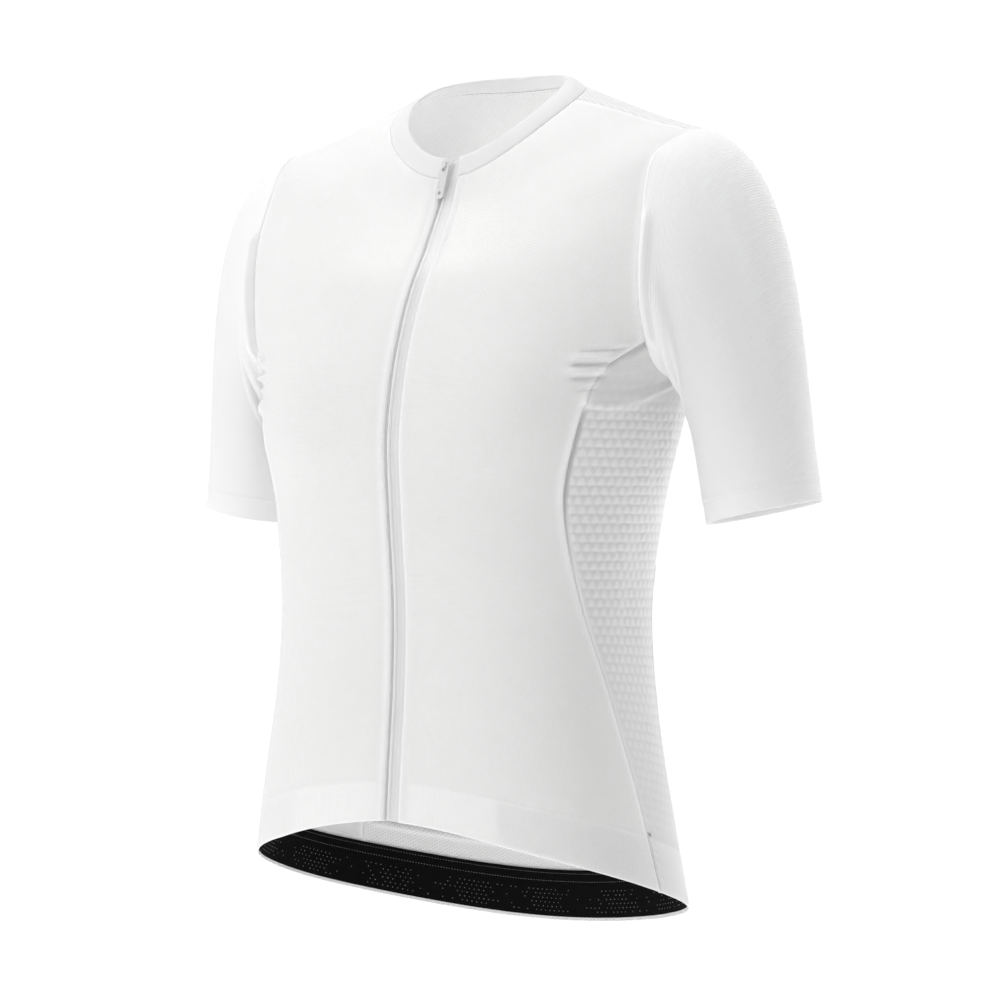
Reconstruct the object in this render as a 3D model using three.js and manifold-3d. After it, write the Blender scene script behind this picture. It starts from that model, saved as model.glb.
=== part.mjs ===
// A women's short-sleeved cycling jersey, filled out and hollow, as if worn.
// Millimetres. +Z is up, -Y is the front and +X is the wearer's left.
// The origin is the middle of the neck opening, at about the height of the shoulders beside it.
import * as THREE from "three";
import { mergeVertices } from "three/addons/utils/BufferGeometryUtils.js";
import Module from "manifold-3d";

// Cloth and seams
const wall = 1.2;
const seamGap = 0.3;
const layerGap = 0.3;
const cuffHem = { depth: 15.5, extra: 0.7 };

// Torso rings, from the hem up to the neck seam. A ring is a squared oval whose front, side and back have heights
// of their own. Level is a running measure up the body, width is half the ring, and square is 2 for a true ellipse.
const torsoRings = [
  {
    level: 0, width: 158, yFront: -127.6, ySide: -20.5, yBack: 87,
    zFront: -503, zSide: -549, zBack: -586, squareFront: 2.4, squareBack: 2.3,
  },
  {
    level: 60, width: 146.5, yFront: -123.8, ySide: -20.5, yBack: 79,
    zFront: -454, zSide: -487, zBack: -517, squareFront: 2.65, squareBack: 2.3,
  },
  {
    level: 125, width: 135, yFront: -119.5, ySide: -20.5, yBack: 69,
    zFront: -405, zSide: -421, zBack: -434, squareFront: 2.85, squareBack: 2.3,
  },
  {
    level: 190, width: 132, yFront: -118.7, ySide: -21, yBack: 63,
    zFront: -352, zSide: -355, zBack: -358, squareFront: 2.75, squareBack: 2.3,
  },
  {
    level: 255, width: 140.5, yFront: -124.3, ySide: -18.5, yBack: 67.5,
    zFront: -290, zSide: -290, zBack: -290, squareFront: 2.35, squareBack: 2.3,
  },
  {
    level: 300, width: 149, yFront: -126.9, ySide: -13.5, yBack: 74,
    zFront: -245, zSide: -245, zBack: -245, squareFront: 2.25, squareBack: 2.3,
  },
  {
    level: 340, width: 158.5, yFront: -121, ySide: -6, yBack: 79,
    zFront: -205, zSide: -205, zBack: -205, squareFront: 2.25, squareBack: 2.3,
  },
  {
    level: 375, width: 181, yFront: -112.5, ySide: 0, yBack: 81,
    zFront: -176, zSide: -157, zBack: -170, squareFront: 2.1, squareBack: 2.2,
  },
  {
    level: 415, width: 194, yFront: -98.5, ySide: 4, yBack: 82,
    zFront: -143, zSide: -93, zBack: -120, squareFront: 2.05, squareBack: 2.1,
  },
  {
    level: 450, width: 183, yFront: -80.3, ySide: 7, yBack: 77,
    zFront: -115, zSide: -46, zBack: -75, squareFront: 2.05, squareBack: 2.1,
  },
  {
    level: 485, width: 164, yFront: -67.5, ySide: 8, yBack: 70,
    zFront: -93, zSide: -34, zBack: -44, squareFront: 2.1, squareBack: 2.2,
  },
  {
    level: 510, width: 132, yFront: -61, ySide: 8, yBack: 64,
    zFront: -81, zSide: -25, zBack: -25, squareFront: 2.1, squareBack: 2.2,
  },
  {
    level: 537, width: 99, yFront: -57, ySide: 5, yBack: 57,
    zFront: -71, zSide: -14, zBack: -8, squareFront: 2.1, squareBack: 2.1,
  },
  {
    level: 560, width: 73, yFront: -54, ySide: 2, yBack: 52,
    zFront: -62.5, zSide: -6.5, zBack: 8, squareFront: 2.1, squareBack: 2.1,
  },
];
const levels = { armpit: 343, panelCorner: 362, shoulderTip: 485, neck: 560 };

// The collar band, from the neck seam to its top edge
const collarRings = [
  {
    level: 0, width: 73, yFront: -54, ySide: 2, yBack: 52,
    zFront: -62.5, zSide: -6.5, zBack: 8, squareFront: 2.1, squareBack: 2.1,
  },
  {
    level: 8, width: 65, yFront: -51.2, ySide: 2, yBack: 50,
    zFront: -55, zSide: -2.5, zBack: 13, squareFront: 2.1, squareBack: 2.1,
  },
  {
    level: 16, width: 57.5, yFront: -48.5, ySide: 2, yBack: 48.5,
    zFront: -47.8, zSide: 0, zBack: 18, squareFront: 2.1, squareBack: 2.1,
  },
];

// The chest's fullness: a soft swell on each side of the zip
const chestSwell = { x: 92, z: -218, reachX: 50, reachUp: 45, reachDown: 50, height: 11 };

// The V of the front hem, highest at the zip
const hemPeak = { rise: 5, share: 0.22 };

// The armhole, as an oval on the torso: shares of half the girth, each side of the side line
const armhole = { halfShare: 0.145, square: 2 };

// The side panel's two seams, by level: shares of half the girth from the front middle
const sideSeams = [
  { level: 0, front: 0.475, back: 0.665 },
  { level: 60, front: 0.459, back: 0.655 },
  { level: 125, front: 0.428, back: 0.648 },
  { level: 190, front: 0.37, back: 0.645 },
  { level: 255, front: 0.3215, back: 0.645 },
  { level: 300, front: 0.325, back: 0.642 },
  { level: 340, front: 0.343, back: 0.626 },
  { level: 352, front: 0.364, back: 0.615 },
  { level: 362, front: 0.401, back: 0.599 },
];

// Creases under the arm: soft ridges between two places on the cloth
const folds = [
  { share0: 0.34, level0: 327, share1: 0.44, level1: 332, bow: -5, width: 5, height: 2.8 },
  { share0: 0.3, level0: 353.4, share1: 0.345, level1: 353.8, bow: 0, width: 3.2, height: 1.7 },
  { share0: 0.3, level0: 345.3, share1: 0.35, level1: 345.8, bow: 0, width: 3.2, height: 1.7 },
];

// Sleeves: where the cuff is, how it leans, and how strongly the cloth leaves the armhole
const cuff = { x: 210.5, y: 20, z: -292, halfWide: 36.5, halfDeep: 44, lean: 12, backward: 3 };
const sleevePull = {
  topOut: 245, bottomOut: 75, topDown: 215, bottomDown: 70,
  topDrop: 0.22, bottomDrop: 0.1, flat: 0.6, smoothing: 6,
};

// Zip: edges of the front panels beside it, tapes, coil, slider and pull tab
const zip = {
  rightEdge: 3.2, leftEdge: 9.4, tapeWall: 1, tapeRight: 10, tapeLeft: 16.5,
  parting: [0.15, 1.6, 2.1], coilHalf: 2.4, coilWall: 1.4,
};
const slider = { level: 8, width: 8.8, length: 13, plate: 1.3, clear: 0.35, post: 2.4, foot: 1.3 };
const tab = { width: 6.6, length: 25, thick: 1.2, pin: 1.3, bridge: 2, window: 4.2, clear: 0.4, hole: 2.2 };

// Gripper band inside the hem, and the pocket panel on the back, by the rows and columns they start at
const gripper = { levels: [2.5, 17, 32.5], wall: 1, startColumn: 4 };
const pocket = { firstRow: 2, lastRow: 9 };

// Rows and columns of the cloth grids
const rows = { plain: 12, creaseStart: 290, creased: 17, armhole: 10, shoulder: 4, sleeve: 9 };
const columns = { front: 10, back: 16, side: 8 };

const white = { color: 0xf1f1f0, roughness: 0.78, metalness: 0 };
const grey = { color: 0xd6d6d4, roughness: 0.7, metalness: 0 };
const black = { color: 0x0b0b0c, roughness: 0.7, metalness: 0 };
const metal = { color: 0xc8c8c6, roughness: 0.25, metalness: 1 };

// A smooth value between the rows of a table
function valueAt(table, key, level) {
  const last = table.length - 1;
  let i = 0;
  while (i < last - 1 && level > table[i + 1].level) i += 1;
  const at = (k) => table[Math.min(Math.max(k, 0), last)];
  const slope = (k) => {
    const before = at(k - 1);
    const after = at(k + 1);
    return (after[key] - before[key]) / (after.level - before.level);
  };
  const span = table[i + 1].level - table[i].level;
  const t = (level - table[i].level) / span;
  const t2 = t * t;
  const t3 = t2 * t;
  return (
    (2 * t3 - 3 * t2 + 1) * table[i][key] +
    (t3 - 2 * t2 + t) * span * slope(i) +
    (3 * t2 - 2 * t3) * table[i + 1][key] +
    (t3 - t2) * span * slope(i + 1)
  );
}

// A ring's plan, for an angle from 0 at the front to PI at the back
function planPoint(ring, angle) {
  const s = Math.sin(angle);
  const c = Math.cos(angle);
  const front = c > 0;
  const power = 2 / (front ? ring.squareFront : ring.squareBack);
  const depth = (front ? ring.yFront : ring.yBack) - ring.ySide;
  return [ring.width * s ** power, ring.ySide + depth * Math.abs(c) ** power];
}

const ringCache = new Map();
const ringSteps = 180;

// A ring with its half girth and the running length along it
function ringAt(table, level) {
  const key = table.length + ":" + level.toFixed(4);
  if (ringCache.has(key)) return ringCache.get(key);
  const ring = {};
  for (const name of Object.keys(table[0])) if (name !== "level") ring[name] = valueAt(table, name, level);
  const run = [0];
  let [x, y] = planPoint(ring, 0);
  for (let k = 1; k <= ringSteps; k += 1) {
    const [nx, ny] = planPoint(ring, (Math.PI * k) / ringSteps);
    run.push(run[k - 1] + Math.hypot(nx - x, ny - y));
    [x, y] = [nx, ny];
  }
  ring.run = run;
  ring.halfGirth = run[ringSteps];
  ringCache.set(key, ring);
  return ring;
}

// The point of a ring at a share of half its girth. Negative shares are the wearer's right.
function ringPoint(table, share, level) {
  const ring = ringAt(table, level);
  const side = Math.sign(share) || 1;
  const s = Math.min(Math.abs(share), 1);
  const target = s * ring.halfGirth;
  let k = 1;
  while (k < ringSteps && ring.run[k] < target) k += 1;
  const t = (target - ring.run[k - 1]) / (ring.run[k] - ring.run[k - 1]);
  const [x, y] = planPoint(ring, (Math.PI * (k - 1 + t)) / ringSteps);
  const middle = (ring.zFront + ring.zBack) / 2;
  const z =
    (middle + ring.zSide) / 2 +
    ((ring.zFront - ring.zBack) / 2) * Math.cos(Math.PI * s) +
    ((middle - ring.zSide) / 2) * Math.cos(2 * Math.PI * s);
  return new THREE.Vector3(side * x, y, z);
}

// The torso's plain surface, with the chest's swell and the V of the hem
function plainPoint(share, level) {
  const p = ringPoint(torsoRings, share, level);
  const dx = (Math.abs(p.x) - chestSwell.x) / chestSwell.reachX;
  const dz = (p.z - chestSwell.z) / (p.z > chestSwell.z ? chestSwell.reachUp : chestSwell.reachDown);
  const swell = chestSwell.height * Math.exp(-(dx * dx + dz * dz));
  if (p.y < 0) {
    p.y -= swell * 0.85;
    p.x += Math.sign(p.x) * swell * 0.5;
  }
  const peak = Math.max(0, 1 - Math.abs(share) / hemPeak.share) * Math.max(0, 1 - level / 60);
  p.z += hemPeak.rise * peak;
  return p;
}

// A surface's outward normal, by small steps
function normalAt(surface, share, level) {
  const stepShare = 0.002;
  const stepLevel = 0.6;
  const along = surface(share + stepShare, level).sub(surface(share - stepShare, level));
  const up = surface(share, level + stepLevel).sub(surface(share, level - stepLevel));
  return along.cross(up).normalize();
}

// A soft ridge's height at a place on the cloth
function ridgeHeight(fold, share, level) {
  const girth = ringAt(torsoRings, level).halfGirth;
  const ax = (Math.abs(share) - fold.share0) * girth;
  const ay = level - fold.level0;
  const dx = (fold.share1 - fold.share0) * girth;
  const dy = fold.level1 - fold.level0;
  const length = Math.hypot(dx, dy);
  const along = (ax * dx + ay * dy) / length;
  const bow = fold.bow * (1 - ((2 * along) / length - 1) ** 2);
  const across = (ay * dx - ax * dy) / length - bow;
  const past = Math.max(0, -along, along - length);
  return fold.height * Math.exp(-((across / fold.width) ** 2) - (past / (fold.width * 1.6)) ** 2);
}

// The torso's outer surface, folds and all
function torsoPoint(share, level) {
  const p = plainPoint(share, level);
  let rise = 0;
  for (const fold of folds) rise += ridgeHeight(fold, share, level);
  if (Math.abs(rise) < 0.01) return p;
  return p.addScaledVector(normalAt(plainPoint, share, clampLevel(level)), rise);
}

const clampLevel = (level) => Math.min(Math.max(level, 0.6), levels.neck - 0.6);
const torsoNormal = (share, level) => normalAt(torsoPoint, share, clampLevel(level));

// How far the armhole reaches from the side line at a level
function armholeShare(level) {
  const half = (levels.shoulderTip - levels.armpit) / 2;
  const t = Math.min(1, Math.abs(level - levels.armpit - half) / half);
  return armhole.halfShare * (1 - t ** armhole.square) ** (1 / armhole.square);
}

// The armhole's level below its middle, at a share from the side line
function armholeBottom(share) {
  const half = (levels.shoulderTip - levels.armpit) / 2;
  const t = Math.min(1, Math.abs(share - 0.5) / armhole.halfShare);
  return levels.armpit + half - half * (1 - t ** armhole.square) ** (1 / armhole.square);
}

// The levels of a panel's rows: closer together below the armhole, where the cloth creases
function rowLevels() {
  const list = [];
  for (let i = 0; i < rows.plain; i += 1) list.push((rows.creaseStart * i) / rows.plain);
  for (let i = 0; i <= rows.creased; i += 1) {
    list.push(rows.creaseStart + ((levels.panelCorner - rows.creaseStart) * i) / rows.creased);
  }
  for (let i = 1; i <= rows.armhole; i += 1) {
    const t = i / rows.armhole;
    list.push(levels.panelCorner + (levels.shoulderTip - levels.panelCorner) * Math.sin((t * Math.PI) / 2));
  }
  for (let i = 1; i <= rows.shoulder; i += 1) {
    list.push(levels.shoulderTip + ((levels.neck - levels.shoulderTip) * i) / rows.shoulder);
  }
  return list;
}
const panelLevels = rowLevels();

// Beside the armhole, rows spread evenly at the panel's middle and bunch at its outer edge
const firstFan = rows.plain + rows.creased;
const lastFan = firstFan + rows.armhole;
const middleLevels = panelLevels.map((level, r) => {
  if (r <= firstFan || r >= lastFan) return level;
  return levels.panelCorner + ((levels.shoulderTip - levels.panelCorner) * (r - firstFan)) / rows.armhole;
});
const fanLevel = (r, outward) => middleLevels[r] + (panelLevels[r] - middleLevels[r]) * outward ** 2;

// The outer edge of a front or back panel: side seam, then armhole, then shoulder seam
function panelEdge(level, which) {
  const towards = which === "front" ? -1 : 1;
  if (level <= levels.panelCorner) {
    const corner = 0.5 + towards * armholeShare(levels.panelCorner);
    const drift = corner - valueAt(sideSeams, which, levels.panelCorner);
    return valueAt(sideSeams, which, level) + drift * (level / levels.panelCorner) ** 6;
  }
  if (level < levels.shoulderTip) return 0.5 + towards * armholeShare(level);
  return 0.5;
}

// Moves a grid's edge points in by half a seam
function openSeams(grid, closed) {
  const last = grid.length - 1;
  const wide = grid[0].length - 1;
  const moved = grid.map((row) => row.map((p) => p.clone()));
  const pull = (p, from, to) => p.addScaledVector(to.clone().sub(from).normalize(), seamGap * 0.65);
  for (let r = 0; r <= last; r += 1) {
    for (let c = 0; c <= wide; c += 1) {
      if (r === 0) pull(moved[r][c], grid[0][c], grid[1][c]);
      if (r === last) pull(moved[r][c], grid[last][c], grid[last - 1][c]);
      if (!closed && c === 0) pull(moved[r][c], grid[r][0], grid[r][1]);
      if (!closed && c === wide) pull(moved[r][c], grid[r][wide], grid[r][wide - 1]);
    }
  }
  return moved;
}

// A closed cloth wall from outer points and their normals. Depth may differ from point to point.
function clothWall(name, outer, normals, depthAt, look, closed = false) {
  const high = outer.length;
  const wide = outer[0].length;
  const inner = outer.map((row, r) => {
    return row.map((p, c) => p.clone().addScaledVector(normals[r][c], -depthAt(r, c)));
  });
  const points = [...outer.flat(), ...inner.flat()];
  const first = (r, c) => r * wide + (c % wide);
  const second = (r, c) => high * wide + first(r, c);
  const faces = [];
  const quad = (a, b, c, d) => {
    if (points[a].distanceTo(points[c]) < points[b].distanceTo(points[d])) faces.push(a, b, c, a, c, d);
    else faces.push(a, b, d, b, c, d);
  };
  const span = closed ? wide : wide - 1;
  for (let r = 0; r < high - 1; r += 1) {
    for (let c = 0; c < span; c += 1) {
      quad(first(r, c), first(r, c + 1), first(r + 1, c + 1), first(r + 1, c));
      quad(second(r, c), second(r + 1, c), second(r + 1, c + 1), second(r, c + 1));
    }
    if (!closed) {
      quad(second(r, 0), first(r, 0), first(r + 1, 0), second(r + 1, 0));
      quad(first(r, span), second(r, span), second(r + 1, span), first(r + 1, span));
    }
  }
  for (let c = 0; c < span; c += 1) {
    quad(second(0, c), second(0, c + 1), first(0, c + 1), first(0, c));
    quad(first(high - 1, c), first(high - 1, c + 1), second(high - 1, c + 1), second(high - 1, c));
  }
  return solidMesh(name, points, faces, look);
}

function solidMesh(name, points, faces, look) {
  const geometry = new THREE.BufferGeometry();
  geometry.setAttribute("position", new THREE.Float32BufferAttribute(points.flatMap((p) => p.toArray()), 3));
  geometry.setIndex(faces);
  geometry.computeVertexNormals();
  const mesh = new THREE.Mesh(geometry, new THREE.MeshStandardMaterial(look));
  mesh.name = name;
  return mesh;
}

// Normals of a grid that closes on itself in its columns
function closedNormals(grid) {
  const high = grid.length;
  const wide = grid[0].length;
  return grid.map((row, r) =>
    row.map((p, c) => {
      const along = row[(c + 1) % wide].clone().sub(row[(c + wide - 1) % wide]);
      const up = grid[Math.min(r + 1, high - 1)][c].clone().sub(grid[Math.max(r - 1, 0)][c]);
      return along.cross(up).normalize();
    })
  );
}

const plainDepth = () => wall;
const group = new THREE.Group();

// Front panels, from the zip to the side seam, armhole and shoulder seam
const frontShare = (side, level, edgeLevel, t) => {
  const inner = (side > 0 ? zip.leftEdge : zip.rightEdge) / ringAt(torsoRings, level).halfGirth;
  return side * (inner + (panelEdge(edgeLevel, "front") - inner) * t);
};

// Back panel, across the back from seam to seam. Shares past 1 come round the other side.
const around = (share) => (share > 1 ? share - 2 : share);
const backPoint = (share, level) => torsoPoint(around(share), level);
const backShare = (edgeLevel, t) => panelEdge(edgeLevel, "back") + (2 - 2 * panelEdge(edgeLevel, "back")) * t;

// A panel's outer points and normals. The place of each is a share and a level, from its row and its column.
function panelGrid(rowCount, count, placeOf) {
  const outer = [];
  const normals = [];
  for (let r = 0; r < rowCount; r += 1) {
    const places = Array.from({ length: count + 1 }, (_, c) => placeOf(r, c / count));
    outer.push(places.map(([share, level]) => backPoint(share, level)));
    normals.push(places.map(([share, level]) => normalAt(backPoint, share, clampLevel(level))));
  }
  return { outer, normals };
}

const panelRows = panelLevels.length;
for (const [name, side] of [["front_left", 1], ["front_right", -1]]) {
  const { outer, normals } = panelGrid(panelRows, columns.front, (r, t) => {
    const outward = side > 0 ? t : 1 - t;
    return [frontShare(side, middleLevels[r], panelLevels[r], outward), fanLevel(r, outward)];
  });
  group.add(clothWall(name, openSeams(outer, false), normals, plainDepth, white));
}

const back = panelGrid(panelRows, columns.back, (r, t) => {
  return [backShare(panelLevels[r], t), fanLevel(r, Math.abs(2 * t - 1))];
});
group.add(clothWall("back", openSeams(back.outer, false), back.normals, plainDepth, white));

// Side panels, whose top edge is the lower part of the armhole
const sideShare = (level, t) => {
  return panelEdge(level, "front") + (panelEdge(level, "back") - panelEdge(level, "front")) * t;
};
const sideLevel = (row, t) => (row * armholeBottom(sideShare(levels.panelCorner, t))) / levels.panelCorner;
for (const [name, side] of [["side_left", 1], ["side_right", -1]]) {
  const { outer, normals } = panelGrid(firstFan + 1, columns.side, (r, t) => {
    const across = side > 0 ? t : 1 - t;
    return [side * sideShare(panelLevels[r], across), sideLevel(panelLevels[r], across)];
  });
  group.add(clothWall(name, openSeams(outer, false), normals, plainDepth, white));
}

// Sleeves, from the armhole's own seam points to the cuff
function armholeLoop(side) {
  const loop = [];
  const put = (share, level) => {
    loop.push({ point: torsoPoint(side * share, level), normal: torsoNormal(side * share, level) });
  };
  const armholeRows = panelLevels.slice(firstFan, lastFan + 1);
  for (const level of armholeRows.slice().reverse()) put(panelEdge(level, "front"), level);
  for (let c = 1; c < columns.side; c += 1) {
    const t = c / columns.side;
    put(sideShare(levels.panelCorner, t), sideLevel(levels.panelCorner, t));
  }
  for (const level of armholeRows.slice(0, -1)) put(panelEdge(level, "back"), level);
  return loop;
}

function sleeve(name, side) {
  const loop = armholeLoop(side);
  const count = loop.length;
  const run = [0];
  for (let i = 1; i <= count; i += 1) run.push(run[i - 1] + loop[i % count].point.distanceTo(loop[i - 1].point));
  const low = rows.armhole + columns.side / 2;
  const axis = new THREE.Vector3(
    side * Math.sin(THREE.MathUtils.degToRad(cuff.lean)),
    Math.sin(THREE.MathUtils.degToRad(cuff.backward)),
    -1
  ).normalize();
  const outward = new THREE.Vector3(side, 0, 0).addScaledVector(axis, -side * axis.x).normalize();
  const forward = new THREE.Vector3().crossVectors(axis, outward).multiplyScalar(side).normalize();
  const centre = new THREE.Vector3(side * cuff.x, cuff.y, cuff.z);
  const halfAt = (i) =>
    i <= low ? (Math.PI * run[i]) / run[low] : Math.PI + (Math.PI * (run[i] - run[low])) / (run[count] - run[low]);
  const topnessAt = (i) => 0.5 + 0.5 * Math.cos(halfAt(i));
  let starts = loop.map(({ normal }, i) => {
    const edge = loop[(i + 1) % count].point.clone().sub(loop[(i + count - 1) % count].point).normalize();
    const leave = normal.clone().cross(edge).multiplyScalar(side).normalize();
    const drop = sleevePull.bottomDrop + (sleevePull.topDrop - sleevePull.bottomDrop) * topnessAt(i);
    const follow = sleevePull.flat * topnessAt(i) ** 0.7;
    return leave.multiplyScalar(follow).addScaledVector(new THREE.Vector3(side, 0, -drop).normalize(), 1 - follow);
  });
  for (let pass = 0; pass < sleevePull.smoothing; pass += 1) {
    starts = starts.map((v, i) => {
      const sum = v.clone().multiplyScalar(2).add(starts[(i + 1) % count]);
      return sum.add(starts[(i + count - 1) % count]).divideScalar(4);
    });
  }
  const strands = loop.map(({ point }, i) => {
    const end = centre
      .clone()
      .addScaledVector(outward, cuff.halfWide * Math.cos(halfAt(i)))
      .addScaledVector(forward, cuff.halfDeep * Math.sin(halfAt(i)));
    const pull = (top, bottom) => bottom + (top - bottom) * topnessAt(i);
    const start = starts[i].clone().setLength(pull(sleevePull.topOut, sleevePull.bottomOut));
    const finish = axis.clone().multiplyScalar(pull(sleevePull.topDown, sleevePull.bottomDown));
    return (t) => {
      const t2 = t * t;
      const t3 = t2 * t;
      return point
        .clone()
        .multiplyScalar(2 * t3 - 3 * t2 + 1)
        .addScaledVector(start, t3 - 2 * t2 + t)
        .addScaledVector(end, 3 * t2 - 2 * t3)
        .addScaledVector(finish, t3 - t2);
    };
  });
  // A row's place down the arm: even rows, then the turned hem at the cuff
  const steps = Array.from({ length: rows.sleeve }, (_, i) => (0.88 * i) / (rows.sleeve - 1));
  const hemTop = (strand, extra) => {
    const length = strand(0.88).distanceTo(strand(1));
    return Math.max(0.885, 1 - (0.12 * (cuffHem.depth + extra)) / length);
  };
  const grid = steps.map((t) => strands.map((strand) => strand(t)));
  grid.push(strands.map((strand) => strand(hemTop(strand, 1.2))));
  grid.push(strands.map((strand) => strand(hemTop(strand, 0))));
  grid.push(strands.map((strand) => strand(1)));
  grid.reverse();
  const ordered = side > 0 ? grid : grid.map((row) => row.slice().reverse());
  const normals = closedNormals(ordered);
  const top = ordered.length - 1;
  normals[top] = normals[top].map((own, c) => {
    const torso = loop[side > 0 ? c : count - 1 - c].normal;
    const blend = THREE.MathUtils.smoothstep(own.dot(torso), 0.25, 0.75);
    return own.clone().multiplyScalar(1 - blend).addScaledVector(torso, blend).normalize();
  });
  const depthAt = (r) => (r <= 1 ? wall + cuffHem.extra : wall);
  return clothWall(name, openSeams(ordered, true), normals, depthAt, white, true);
}
group.add(sleeve("sleeve_left", 1), sleeve("sleeve_right", -1));

// Shares of every column of the torso at a level, from the left zip edge round the back to the right zip edge
function columnShares(level) {
  const list = [];
  for (let c = 0; c < columns.front; c += 1) list.push(frontShare(1, level, level, c / columns.front));
  if (level < levels.panelCorner) {
    for (let c = 0; c < columns.side; c += 1) list.push(sideShare(level, c / columns.side));
  }
  for (let c = 0; c <= columns.back; c += 1) list.push(backShare(level, c / columns.back));
  if (level < levels.panelCorner) {
    for (let c = columns.side - 1; c >= 0; c -= 1) list.push(2 - sideShare(level, c / columns.side));
  }
  for (let c = columns.front - 1; c >= 0; c -= 1) list.push(2 + frontShare(-1, level, level, c / columns.front));
  return list;
}

// Collar: one band round the neck, open at the zip, its edge turned to the inside
const collarPoint = (share, level) => ringPoint(collarRings, around(share), level);
const collarTop = collarRings[collarRings.length - 1].level;
const neckShares = columnShares(levels.neck);
const collarOuter = collarRings.map((ring) => neckShares.map((share) => collarPoint(share, ring.level)));
const collarNormals = collarRings.map((ring, r) =>
  neckShares.map((share) => {
    if (r === 0) return torsoNormal(around(share), levels.neck);
    return normalAt(collarPoint, share, Math.min(ring.level, collarTop - 0.7));
  })
);
group.add(clothWall("collar", openSeams(collarOuter, false), collarNormals, plainDepth, white));

// Rows up the front middle, on the torso and then on the collar, for the zip
function zipRows() {
  const list = middleLevels.map((level) => ({
    at: (x) => torsoPoint(x / ringAt(torsoRings, level).halfGirth, level),
  }));
  for (const ring of collarRings.slice(1)) {
    list.push({ at: (x) => ringPoint(collarRings, x / ringAt(collarRings, ring.level).halfGirth, ring.level) });
  }
  return list;
}
const zipLine = zipRows();

// Strip along the zip between two sideways places, some depth below the cloth's outer surface
function zipStrip(name, across, depth, thick, fromRow, toRow, look) {
  const line = zipLine.slice(fromRow, toRow + 1);
  const place = (x) => line.map((row) => row.at(x));
  const columnsOf = across.map((x) => line.map((row, r) => row.at(typeof x === "function" ? x(r + fromRow) : x)));
  const middle = place(0);
  const normals = line.map((row, r) => {
    const up = middle[Math.min(r + 1, line.length - 1)].clone().sub(middle[Math.max(r - 1, 0)]);
    const side = row.at(6).sub(row.at(-6));
    return side.cross(up).normalize();
  });
  const outer = line.map((row, r) => {
    return columnsOf.map((column) => column[r].clone().addScaledVector(normals[r], -depth));
  });
  const spread = line.map((row, r) => columnsOf.map(() => normals[r]));
  return clothWall(name, openSeams(outer, false), spread, () => thick, look);
}

// Zip tapes, under the front panels' edges, parting round the slider's post at the very top
const lastRow = zipLine.length - 1;
const tapeDepth = wall + layerGap;
const inner = (r) => zip.parting[Math.max(0, r - lastRow + 2)];
group.add(
  zipStrip("zip_tape_left", [inner, 5, 10, zip.tapeLeft], tapeDepth, zip.tapeWall, 0, lastRow, grey),
  zipStrip("zip_tape_right", [-zip.tapeRight, -5.5, (r) => -inner(r)], tapeDepth, zip.tapeWall, 0, lastRow, grey)
);
const coilDepth = tapeDepth + zip.tapeWall + layerGap;
group.add(zipStrip("zip_coil", [-zip.coilHalf, zip.coilHalf], coilDepth, zip.coilWall, 0, lastRow - 2, white));

// Gripper band inside the hem: the cloth's points moved in, from each front side round the back
function bandGrid(levelList, depth, keep) {
  const outer = [];
  const normals = [];
  for (const level of levelList) {
    const shares = columnShares(level).slice(keep, -keep);
    const rowNormals = shares.map((share) => normalAt(backPoint, share, clampLevel(level)));
    normals.push(rowNormals);
    outer.push(shares.map((share, c) => backPoint(share, level).addScaledVector(rowNormals[c], -depth)));
  }
  return { outer, normals };
}
const band = bandGrid(gripper.levels, wall + layerGap, gripper.startColumn);
group.add(clothWall("hem_gripper", band.outer, band.normals, () => gripper.wall, black));

// Back pockets: one panel on the back, its points moved out
const pocketRows = [pocket.firstRow, pocket.lastRow + 1];
const pocketNormals = back.normals.slice(...pocketRows);
const pocketOuter = back.outer
  .slice(...pocketRows)
  .map((row, r) => row.map((p, c) => p.clone().addScaledVector(pocketNormals[r][c], wall + layerGap)));
group.add(clothWall("back_pockets", openSeams(pocketOuter, false), pocketNormals, plainDepth, white));

// Slider and pull tab, in a frame at the collar: x across, y up along the zip, z away from the cloth
const low = collarPoint(0, slider.level - 4);
const high = collarPoint(0, slider.level + 4);
const upward = high.clone().sub(low).normalize();
const away = new THREE.Vector3(1, 0, 0).cross(upward).normalize();
const place = new THREE.Matrix4().makeBasis(new THREE.Vector3(1, 0, 0), upward, away);
place.setPosition(low.clone().add(high).multiplyScalar(0.5));

const wasm = await Module();
wasm.setup();

// A closed geometry as a solid that can be joined and cut
function solidOf(geometry) {
  const bare = new THREE.BufferGeometry();
  const source = geometry.index ? geometry.toNonIndexed() : geometry;
  bare.setAttribute("position", source.getAttribute("position"));
  const merged = mergeVertices(bare, 1e-4);
  const vertProperties = new Float32Array(merged.getAttribute("position").array);
  const triVerts = new Uint32Array(merged.index.array);
  return new wasm.Manifold(new wasm.Mesh({ numProp: 3, vertProperties, triVerts }));
}

// A flat outline with rounded corners, made a plate with eased edges
function plateSolid(corners, rounding, bottom, thick, ease = 0.2) {
  const shape = new THREE.Shape();
  const count = corners.length;
  const point = (k) => new THREE.Vector2(...corners[(k + count) % count]);
  for (let k = 0; k < count; k += 1) {
    const here = point(k);
    const reach = (other) => here.clone().add(other.clone().sub(here).setLength(rounding));
    const before = reach(point(k - 1));
    const after = reach(point(k + 1));
    if (k === 0) shape.moveTo(before.x, before.y);
    else shape.lineTo(before.x, before.y);
    shape.quadraticCurveTo(here.x, here.y, after.x, after.y);
  }
  shape.closePath();
  const geometry = new THREE.ExtrudeGeometry(shape, {
    depth: thick - 2 * ease,
    bevelThickness: ease,
    bevelSize: ease,
    bevelOffset: -ease,
    bevelSegments: 1,
    curveSegments: 3,
  });
  return solidOf(geometry.translate(0, 0, bottom + ease));
}

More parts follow.
